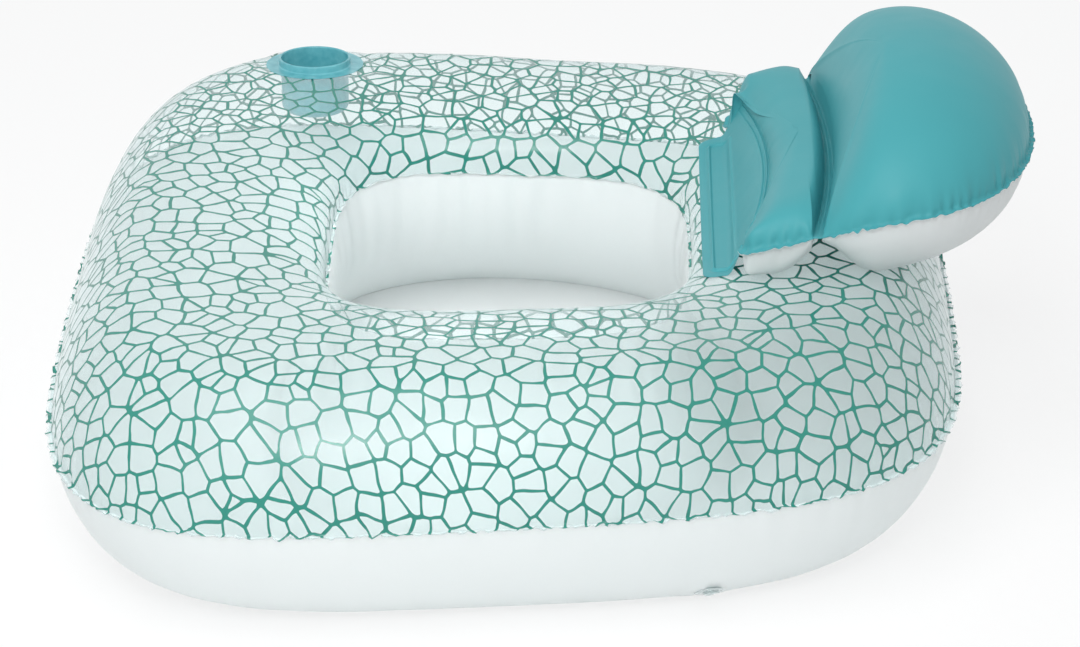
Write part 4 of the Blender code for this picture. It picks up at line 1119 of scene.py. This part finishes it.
def outline_ways(outline, centre):
    """Unit directions out of an outline."""
    along = np.roll(outline, -2, axis=0) - np.roll(outline, 2, axis=0)
    out = np.stack([along[:, 1], -along[:, 0]], axis=1)
    out /= np.linalg.norm(out, axis=1, keepdims=True)
    flip = np.sign(((outline - centre) * out).sum(axis=1))
    return out * flip[:, None]


def smoothed(grid, passes=50):
    """Soften the ridges of a grid of heights, but not near its seam, where it is steep."""
    grid[0] = 0.0
    weight = smooth((np.arange(len(grid)) - 5.0) / 12.0)[:, None]
    for _ in range(passes):
        soft = (np.roll(grid, 1, axis=1) + np.roll(grid, -1, axis=1) + 2.0 * grid) / 4.0
        soft[1:-1] = (soft[:-2] + soft[2:] + 2.0 * soft[1:-1]) / 4.0
        grid = grid + (soft - grid) * weight
    return grid


# %% [markdown]
# The same function makes all four skins: teal ones up from the seam, white ones down,
# and white ones never deeper than the ring that they rest on. The pillow's white skin
# also gets the flat spot and the hole for its valve.

# %% Skins of a cushion


def cushion_skin(name, cushion, sign, height, fullness, puckers):
    """One skin of a cushion, up (+1) or down (-1) from its seam, with a weld edge."""
    outline, length, centre = cushion["outline"], cushion["length"], cushion["centre"]
    plane, loose = cushion["plane"], cushion["loose"]
    out = outline_ways(outline, centre)
    turns = np.arange(len(outline)) / len(outline)
    reach = np.cos(np.linspace(0.0, math.pi / 2.0, SKIN_ROWS + 1))[:-1, None]
    x = centre[0] + (outline[None, :, 0] - centre[0]) * reach
    y = centre[1] + (outline[None, :, 1] - centre[1]) * reach
    z = plane(x, y) + sign * height * smoothed(fullness(x, y))
    middle = np.array(centre)
    tip = float(plane(*middle) + sign * height * fullness(*middle))
    if sign < 0:
        z = np.maximum(z, ring_top(x, y) + ABOVE_RING)
        tip = max(tip, float(ring_top(*middle)) + ABOVE_RING)
    places = np.stack([x, y, z], axis=-1)
    run = arc_lengths(places)
    drop = pucker_depth(puckers, length, (turns * length)[None], run) * smooth(run / 0.004)
    places = places - grid_normals(places) * sign * drop[..., None]
    near = np.exp(-run / 0.010)
    wave = 0.05 + 0.95 * loose
    ripple, push, frill = (ruffle(cushion["seed"] + i, turns, length, *shape) * wave
                           for i, shape in enumerate(CUSHION_WAVES))
    places[..., 2] += near * ripple + sign * HALF_GAP * near
    places[..., :2] += out * (near * push)[..., None]
    width = HIDDEN_EDGE + cushion["edge"] * loose + (OVERLAP * (1.0 - loose) if sign > 0 else 0.0)
    rims = [places[0] + np.column_stack([out * (width * share)[:, None], frill * share]) for share in (1.0, 0.5)]
    grid = np.concatenate([rims, places])
    valve = cushion["valve"] if sign < 0 else None
    if valve:
        grid = flatten_low(grid, valve)
    made = sheet_object(name, grid, teal_pvc if sign > 0 else white_pvc, up=sign > 0, pole=(*centre, tip))
    if valve:
        valve_hole(made, valve)
    give_gauge(made)
    long_way = run[-1, np.argmax(out[:, 0])] + run[-1, np.argmin(out[:, 0])]
    wide_way = run[-1, np.argmax(outline[:, 1])] + run[-1, np.argmin(outline[:, 1])]
    print(name, len(puckers), "puckers; over the skin", round(1000 * long_way), "x", round(1000 * wide_way), "mm")
    return made


def make_cushion(cushion, skins):
    """Both skins of a cushion. A skin is given by
    name, node, direction, height, fullness, and the seed and sizes of its puckers."""
    around = np.append(cushion["loose"], cushion["loose"][0])
    least = cushion["least"]

    def weight(turn):
        return least + (1.0 - least) * np.interp(turn, np.linspace(0.0, 1.0, len(around)), around)

    for name, node, sign, height, fullness, seed, sizes in skins:
        puckers = draw_puckers(seed, cushion["length"], *sizes, weight)
        made = cushion_skin(name, cushion, sign, height, fullness, puckers)
        dress(made, [node])
        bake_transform(made)


# %% [markdown]
# The lumbar roll is a crescent: its front follows the curved weld of the flap, and
# its back the crease, where the pillow begins. Past the corners of the flap its ends
# swell forward into round lobes. Its fullness follows the distance to the seam, so it
# is round at the front and at its ends, and falls steeply into the crease.

# %% Lumbar roll
CREASE_OFFSET = 0.0055
LOBE_SIDE_X = 0.300       # where a lobe is widest
FAR_LOBE, NEAR_LOBE = (0.0175, 0.2430), (0.0085, 0.2345)   # length ahead of the front weld, and half width
ROLL_COLUMNS = 620


def bezier(points, steps):
    """Points on a cubic curve, without its last one."""
    a, b, c, d = (np.array(point) for point in points)
    t = np.linspace(0.0, 1.0, steps, endpoint=False)[:, None]
    return a * (1 - t) ** 3 + 3 * b * t * (1 - t) ** 2 + 3 * c * t * t * (1 - t) + d * t ** 3


def roll_end_points(hook, width):
    """From the end of the crease round the lobe to the end of the front weld."""
    start = (crease_x(CREASE_HALF_WIDTH) - CREASE_OFFSET, CREASE_HALF_WIDTH)
    root = (roll_front_x(LOBE_ROOT), LOBE_ROOT)
    nose = (root[0] - hook, LOBE_ROOT + 0.46 * (width - LOBE_ROOT))
    side = (LOBE_SIDE_X, width)
    return np.vstack([
        bezier((start, (start[0] - 0.018, width), (0.322, width + 0.0015), side), 24),
        bezier((side, (0.280, width - 0.0015), (nose[0], width - 0.007), nose), 24),
        bezier((nose, (nose[0], LOBE_ROOT + 0.008), (root[0] - 0.5 * hook, LOBE_ROOT + 0.001), root), 24)])


def roll_outline_points():
    side = np.linspace(-CREASE_HALF_WIDTH, CREASE_HALF_WIDTH, 160)
    back = np.stack([crease_x(side) - CREASE_OFFSET, side], axis=1)[:-1]
    far, near = roll_end_points(*FAR_LOBE), roll_end_points(*NEAR_LOBE)
    side = np.linspace(LOBE_ROOT, -LOBE_ROOT, 160)
    front = np.stack([roll_front_x(side), side], axis=1)
    return np.vstack([back, far, front, near[:0:-1] * [1.0, -1.0]])


# %% [markdown]
# How full the roll is at a place follows from its distance to the loose part of the
# seam and to the crease. The lobes are narrow, so they turn up within a shorter way.

# %% Fullness of the roll
ROLL_RISE, ROLL_DROP = 0.037, 0.052
FRONT_FLANK = 0.035
LOBE_FLANK = 0.015
CREASE_FLANK_TOP, CREASE_FLANK_UNDER = 0.016, 0.044


def distance_to(line, x, y):
    """Distance of places to a chain of points."""
    places = np.stack([np.ravel(x), np.ravel(y)], axis=1)
    start, step = line[:-1], np.diff(line, axis=0)
    nearest = np.full(len(places), 1e9)
    for origin, way in zip(start, step):
        share = np.clip(((places - origin) @ way) / (way @ way), 0.0, 1.0)
        nearest = np.minimum(nearest, np.linalg.norm(places - origin - share[:, None] * way, axis=1))
    return nearest.reshape(np.shape(x))


def round_flank(share):
    share = np.clip(share, 0.0, 1.0)
    return np.sqrt(share * (2.0 - share))


roll_seam = roll_outline_points()[158:]


def roll_fullness_with(crease_flank):
    def fullness(x, y):
        to_crease = (crease_x(y) - CREASE_OFFSET - x) / crease_flank
        in_lobe = smooth((np.abs(y) - 0.200) / 0.018) * smooth((LOBE_SIDE_X - x) / 0.028)
        flank = FRONT_FLANK + (LOBE_FLANK - FRONT_FLANK) * in_lobe
        return round_flank(distance_to(roll_seam, x, y) / flank) * round_flank(to_crease)
    return fullness


outline, length = even_outline(roll_outline_points(), ROLL_COLUMNS)
loose = smooth((np.abs(outline[:, 1]) - LOBE_ROOT - 0.002) / 0.02) * smooth((0.357 - outline[:, 0]) / 0.01)
roll = {"outline": outline, "length": length, "centre": ((ROLL_FRONT_X + float(crease_x(0.0))) / 2.0, 0.0),
        "plane": roll_plane, "loose": loose, "least": 0.25, "edge": 0.0055, "seed": 55, "valve": None,
        "bodies": ("ring", "lumbar_roll"), "bend": (FOLD_X - 0.013, FOLD_X + 0.003, FOLD_Z)}
make_cushion(roll, (
    ("lumbar_teal_skin", "lumbar_top_sheet", 1, ROLL_RISE, roll_fullness_with(CREASE_FLANK_TOP),
     51, (0.017, 0.0060, 0.034)),
    ("lumbar_white_skin", "lumbar_bottom_sheet", -1, ROLL_DROP, roll_fullness_with(CREASE_FLANK_UNDER),
     52, (0.019, 0.0045, 0.030))))

# %% [markdown]
# Between roll and pillow both sheets are welded together over a narrow strip. Its
# middle stands up as a thin ridge, where the tool squeezed the soft sheet.

# %% Crease weld
STRIP_COLUMNS = 160
STRIP_WIDTH = 0.0112
RIDGE, RIDGE_SHARE = 0.0024, 0.35       # height of the ridge, and its half width in the strip
STRIP_WAVE, STRIP_WAVE_WIDTH = 0.0006, 0.011
across = np.linspace(-1.0, 1.0, 11)[:, None]
y = np.linspace(-CREASE_HALF_WIDTH, CREASE_HALF_WIDTH, STRIP_COLUMNS)[None, :]
x = crease_x(y) + across * STRIP_WIDTH / 2.0
ends = np.sqrt(np.clip(1.0 - (y / CREASE_HALF_WIDTH) ** 4, 0.0, 1.0))
ridge = RIDGE * np.exp(-(across / RIDGE_SHARE) ** 2) * ends
z = CREASE_Z + ridge + STRIP_WAVE * np.sin(y / STRIP_WAVE_WIDTH) * (1.0 - across ** 2) ** 3
strip = sheet_object("crease_weld", np.stack(np.broadcast_arrays(x, y, z), axis=-1), teal_pvc, up=True, closed=False)
give_gauge(strip, 2.0 * SHEET)
dress(strip, ["crease_weld_strip"], "lumbar_roll")

# %% [markdown]
# The head pillow is an oval that the crease cuts off in front. Its seam lifts off
# the ring and levels out at its tip, and its white underside rests on the ring.

# %% Head pillow
PILLOW_HALF_LENGTH = 0.1747
PILLOW_CUT_SHARE = 0.466
PILLOW_POWER = 2.1
PILLOW_RISE, PILLOW_DROP = 0.120, 0.132
PILLOW_TIP_LIFT = 0.043
LIFT_START = 0.0065       # behind the crease
PILLOW_LIFT_POWER = 3.5
PILLOW_FLANK_SHARE = 0.20
PILLOW_BEND = 0.048        # how far behind the crease the soft pillow bends when it nods
PILLOW_X = CREASE_X + CREASE_OFFSET + PILLOW_CUT_SHARE * PILLOW_HALF_LENGTH
PILLOW_HALF_WIDTH = CREASE_HALF_WIDTH / (1.0 - PILLOW_CUT_SHARE ** PILLOW_POWER) ** (1.0 / PILLOW_POWER)
PILLOW_COLUMNS = 700


def pillow_plane(x, y):
    front = crease_x(y) + LIFT_START
    run = np.clip((x - front) / (PILLOW_X + PILLOW_HALF_LENGTH - front), 0.0, 1.0)
    return CREASE_Z + PILLOW_TIP_LIFT * (1.0 - (1.0 - run) ** PILLOW_LIFT_POWER)


def pillow_fullness_with(steep):
    def fullness(x, y):
        run = np.abs(x - PILLOW_X) / PILLOW_HALF_LENGTH
        side = np.abs(y) / PILLOW_HALF_WIDTH
        round_edge = np.clip(1.0 - run ** PILLOW_POWER - side ** PILLOW_POWER, 0.0, None)
        flank = 2.0 * PILLOW_HALF_LENGTH * PILLOW_FLANK_SHARE
        crease = np.clip((x - crease_x(y)) / flank, 0.0, 1.0)
        return np.sqrt(round_edge) * (crease * (2.0 - crease)) ** steep
    return fullness


def pillow_outline_points():
    side = np.linspace(CREASE_HALF_WIDTH, -CREASE_HALF_WIDTH, 160)
    back = np.stack([crease_x(side) + CREASE_OFFSET, side], axis=1)
    start = math.acos(-PILLOW_CUT_SHARE ** (PILLOW_POWER / 2.0))
    turn = np.linspace(-start, start, 500)[1:-1]
    ahead = np.sign(np.cos(turn)) * np.abs(np.cos(turn)) ** (2.0 / PILLOW_POWER)
    side = np.sign(turn) * np.abs(np.sin(turn)) ** (2.0 / PILLOW_POWER)
    oval = np.stack([PILLOW_X + PILLOW_HALF_LENGTH * ahead, PILLOW_HALF_WIDTH * side], axis=1)
    return np.vstack([back, oval])


outline, length = even_outline(pillow_outline_points(), PILLOW_COLUMNS)
loose = smooth((outline[:, 0] - crease_x(outline[:, 1]) - CREASE_OFFSET - 0.001) / 0.02)
pillow = {"outline": outline, "length": length, "centre": (PILLOW_X, 0.0), "plane": pillow_plane,
          "loose": loose, "least": 0.30, "edge": 0.0052, "seed": 65, "valve": "headrest_valve",
          "bodies": ("lumbar_roll", "headrest"),
          "bend": (CREASE_X + CREASE_BOW + CREASE_OFFSET, CREASE_X + CREASE_BOW + PILLOW_BEND, CREASE_Z)}
make_cushion(pillow, (
    ("headrest_teal_skin", "headrest_top_sheet", 1, PILLOW_RISE, pillow_fullness_with(0.62),
     61, (0.016, 0.0034, 0.026)),
    ("headrest_white_skin", "headrest_bottom_sheet", -1, PILLOW_DROP, pillow_fullness_with(1.0),
     62, (0.018, 0.0030, 0.030))))

# %% [markdown]
# Each chamber has a push-in air valve, moulded in soft clear PVC: a flange that is
# welded to the sheet, a stem that pushes flush, a plug on a tether, and a thin check
# flap on the inner end of the stem. All of them are turned pieces with rounded rims.

# %% Air valves
STEM_BORE = STEM_RADIUS - 0.0017
STEM_LENGTH = 0.0200
STEM_STOP = 0.0015
STEM_COLLAR = 0.0010
EAR_WIDTH = 0.0050
PIN_RADIUS = 0.0030
PIN_LENGTH = 0.0050
PLUG_CAP = 0.0015
TETHER = 0.0008
STEM_BEVEL, PLUG_BEVEL = 0.00018, 0.00015
MOUTH = VALVE_FLANGE + STEM_PROUD
FOOT = MOUTH - STEM_LENGTH
CAP_LOW = MOUTH + PLAY


def weld_bar(target, start, low, high):
    """Join a small bar, from start to the plug's hinge, to a turned piece by a Boolean."""
    bpy.ops.object.select_all(action="DESELECT")
    bpy.ops.mesh.primitive_cube_add(size=1.0, location=(0.0, 0.0, 0.0))
    bar = bpy.context.active_object
    end = EAR_REACH + 0.0001
    middle = ((start + end) / 2.0, 0.0, (low + high) / 2.0)
    bar.data.transform(Matrix.Translation(middle) @ Matrix.Diagonal((end - start, EAR_WIDTH, high - low, 1.0)))
    modify(bar, "edge", "BEVEL", width=STEM_BEVEL, segments=2)
    modify(target, "weld", "BOOLEAN", operation="UNION", solver="EXACT", object=bar)
    bpy.data.objects.remove(bar)
    bpy.ops.object.shade_smooth_by_angle(angle=SMOOTH_BELOW)


# %% [markdown]
# The four profiles are chains of radius and height, with 0 on the face of the sheet.
# The plug's cap and the collar of the stem are joined by the tether, a small bar.

# %% Profiles of the valve
RIDGE_RADIUS, RIDGE_HALF, RIDGE_FOOT = 0.0093, 0.0005, 0.0012   # the weld ridge on the flange
DIMPLE_RADIUS, DIMPLE_SLOPE = 0.0034, 0.0006                    # in the face of the plug
CHECK_FLAP = 0.0006
flange_face, ridge_top = VALVE_FLANGE * 0.85, VALVE_FLANGE * 1.25
bore, foot_radius, collar_radius = STEM_RADIUS + PLAY, STEM_RADIUS + STEM_STOP, STEM_RADIUS + STEM_COLLAR
flange_profile = [(bore, 0.0), (VALVE_FLANGE_RADIUS, 0.0), (VALVE_FLANGE_RADIUS, VALVE_FLANGE * 0.4),
                  (VALVE_FLANGE_RADIUS - RIDGE_FOOT, flange_face), (RIDGE_RADIUS + RIDGE_FOOT, flange_face),
                  (RIDGE_RADIUS + RIDGE_HALF, ridge_top), (RIDGE_RADIUS - RIDGE_HALF, ridge_top),
                  (RIDGE_RADIUS - RIDGE_FOOT, flange_face), (bore, VALVE_FLANGE)]
stem_profile = [(STEM_BORE, FOOT), (foot_radius, FOOT), (foot_radius, FOOT + STEM_STOP),
                (STEM_RADIUS, FOOT + STEM_STOP), (STEM_RADIUS, MOUTH - STEM_COLLAR),
                (collar_radius, MOUTH - STEM_COLLAR), (collar_radius, MOUTH), (STEM_BORE, MOUTH)]
pin_end, cap_face, dimple_face = CAP_LOW - PIN_LENGTH, CAP_LOW + PLUG_CAP, CAP_LOW + PLUG_CAP * 0.7
plug_profile = [(0.0, pin_end), (PIN_RADIUS * 0.8, pin_end), (PIN_RADIUS * 1.12, CAP_LOW - PIN_LENGTH * 0.72),
                (PIN_RADIUS, CAP_LOW - PIN_LENGTH * 0.55), (PIN_RADIUS, CAP_LOW), (STEM_RADIUS, CAP_LOW),
                (STEM_RADIUS, CAP_LOW + PLUG_CAP * 0.6), (STEM_RADIUS - PLUG_CAP * 0.5, cap_face),
                (DIMPLE_RADIUS + DIMPLE_SLOPE, cap_face), (DIMPLE_RADIUS, dimple_face), (0.0, dimple_face)]
flap_radius, flap_top = STEM_BORE + STEM_STOP, FOOT - PLAY
flap_profile = [(0.0, flap_top - CHECK_FLAP), (flap_radius - 0.0002, flap_top - CHECK_FLAP),
                (flap_radius, flap_top - CHECK_FLAP / 2.0), (flap_radius - 0.0002, flap_top), (0.0, flap_top)]

upright = (Vector((0.0, 0.0, 0.0)), Vector((0.0, 0.0, 1.0)), Vector((1.0, 0.0, 0.0)))
models = {
    "flange": turned("weld_ring", flange_profile, *upright, soft_clear_pvc),
    "stem": turned("tube", stem_profile, *upright, soft_clear_pvc, bevel=STEM_BEVEL),
    "plug": turned("stopper", plug_profile, *upright, soft_clear_pvc, bevel=PLUG_BEVEL),
    "flap": turned("check_disc", flap_profile, *upright, soft_clear_pvc)}
weld_bar(models["stem"], STEM_RADIUS - 0.0005, MOUTH - STEM_COLLAR * 0.9, MOUTH - STEM_COLLAR * 0.2)
weld_bar(models["plug"], STEM_RADIUS * 0.5, CAP_LOW + TETHER * 0.1, CAP_LOW + TETHER)

# %% [markdown]
# The ring's valve and the pillow's are the same product, so the four pieces are
# modelled once. Each valve gets its own copy of every mesh, turned onto its seat.

# %% Place the two valves
for prefix, body in (("ring_valve", "ring"), ("headrest_valve", "headrest")):
    short = prefix.replace("_valve", "")
    bodies = {"flange": body, "stem": short + "_stem", "plug": short + "_plug", "flap": short + "_check_flap"}
    for part, model in models.items():
        piece = model.copy()
        piece.data = model.data.copy()
        piece.name = piece.data.name = prefix + "_" + model.name
        bpy.context.scene.collection.objects.link(piece)
        piece.data.transform(standing(*valve_frame(prefix)))
        dress(piece, [prefix + "_" + part], bodies[part])
    print(prefix, "has", len(models), "pieces on a flange", round(2000 * VALVE_FLANGE_RADIUS), "mm wide")
for model in models.values():
    bpy.data.objects.remove(model)
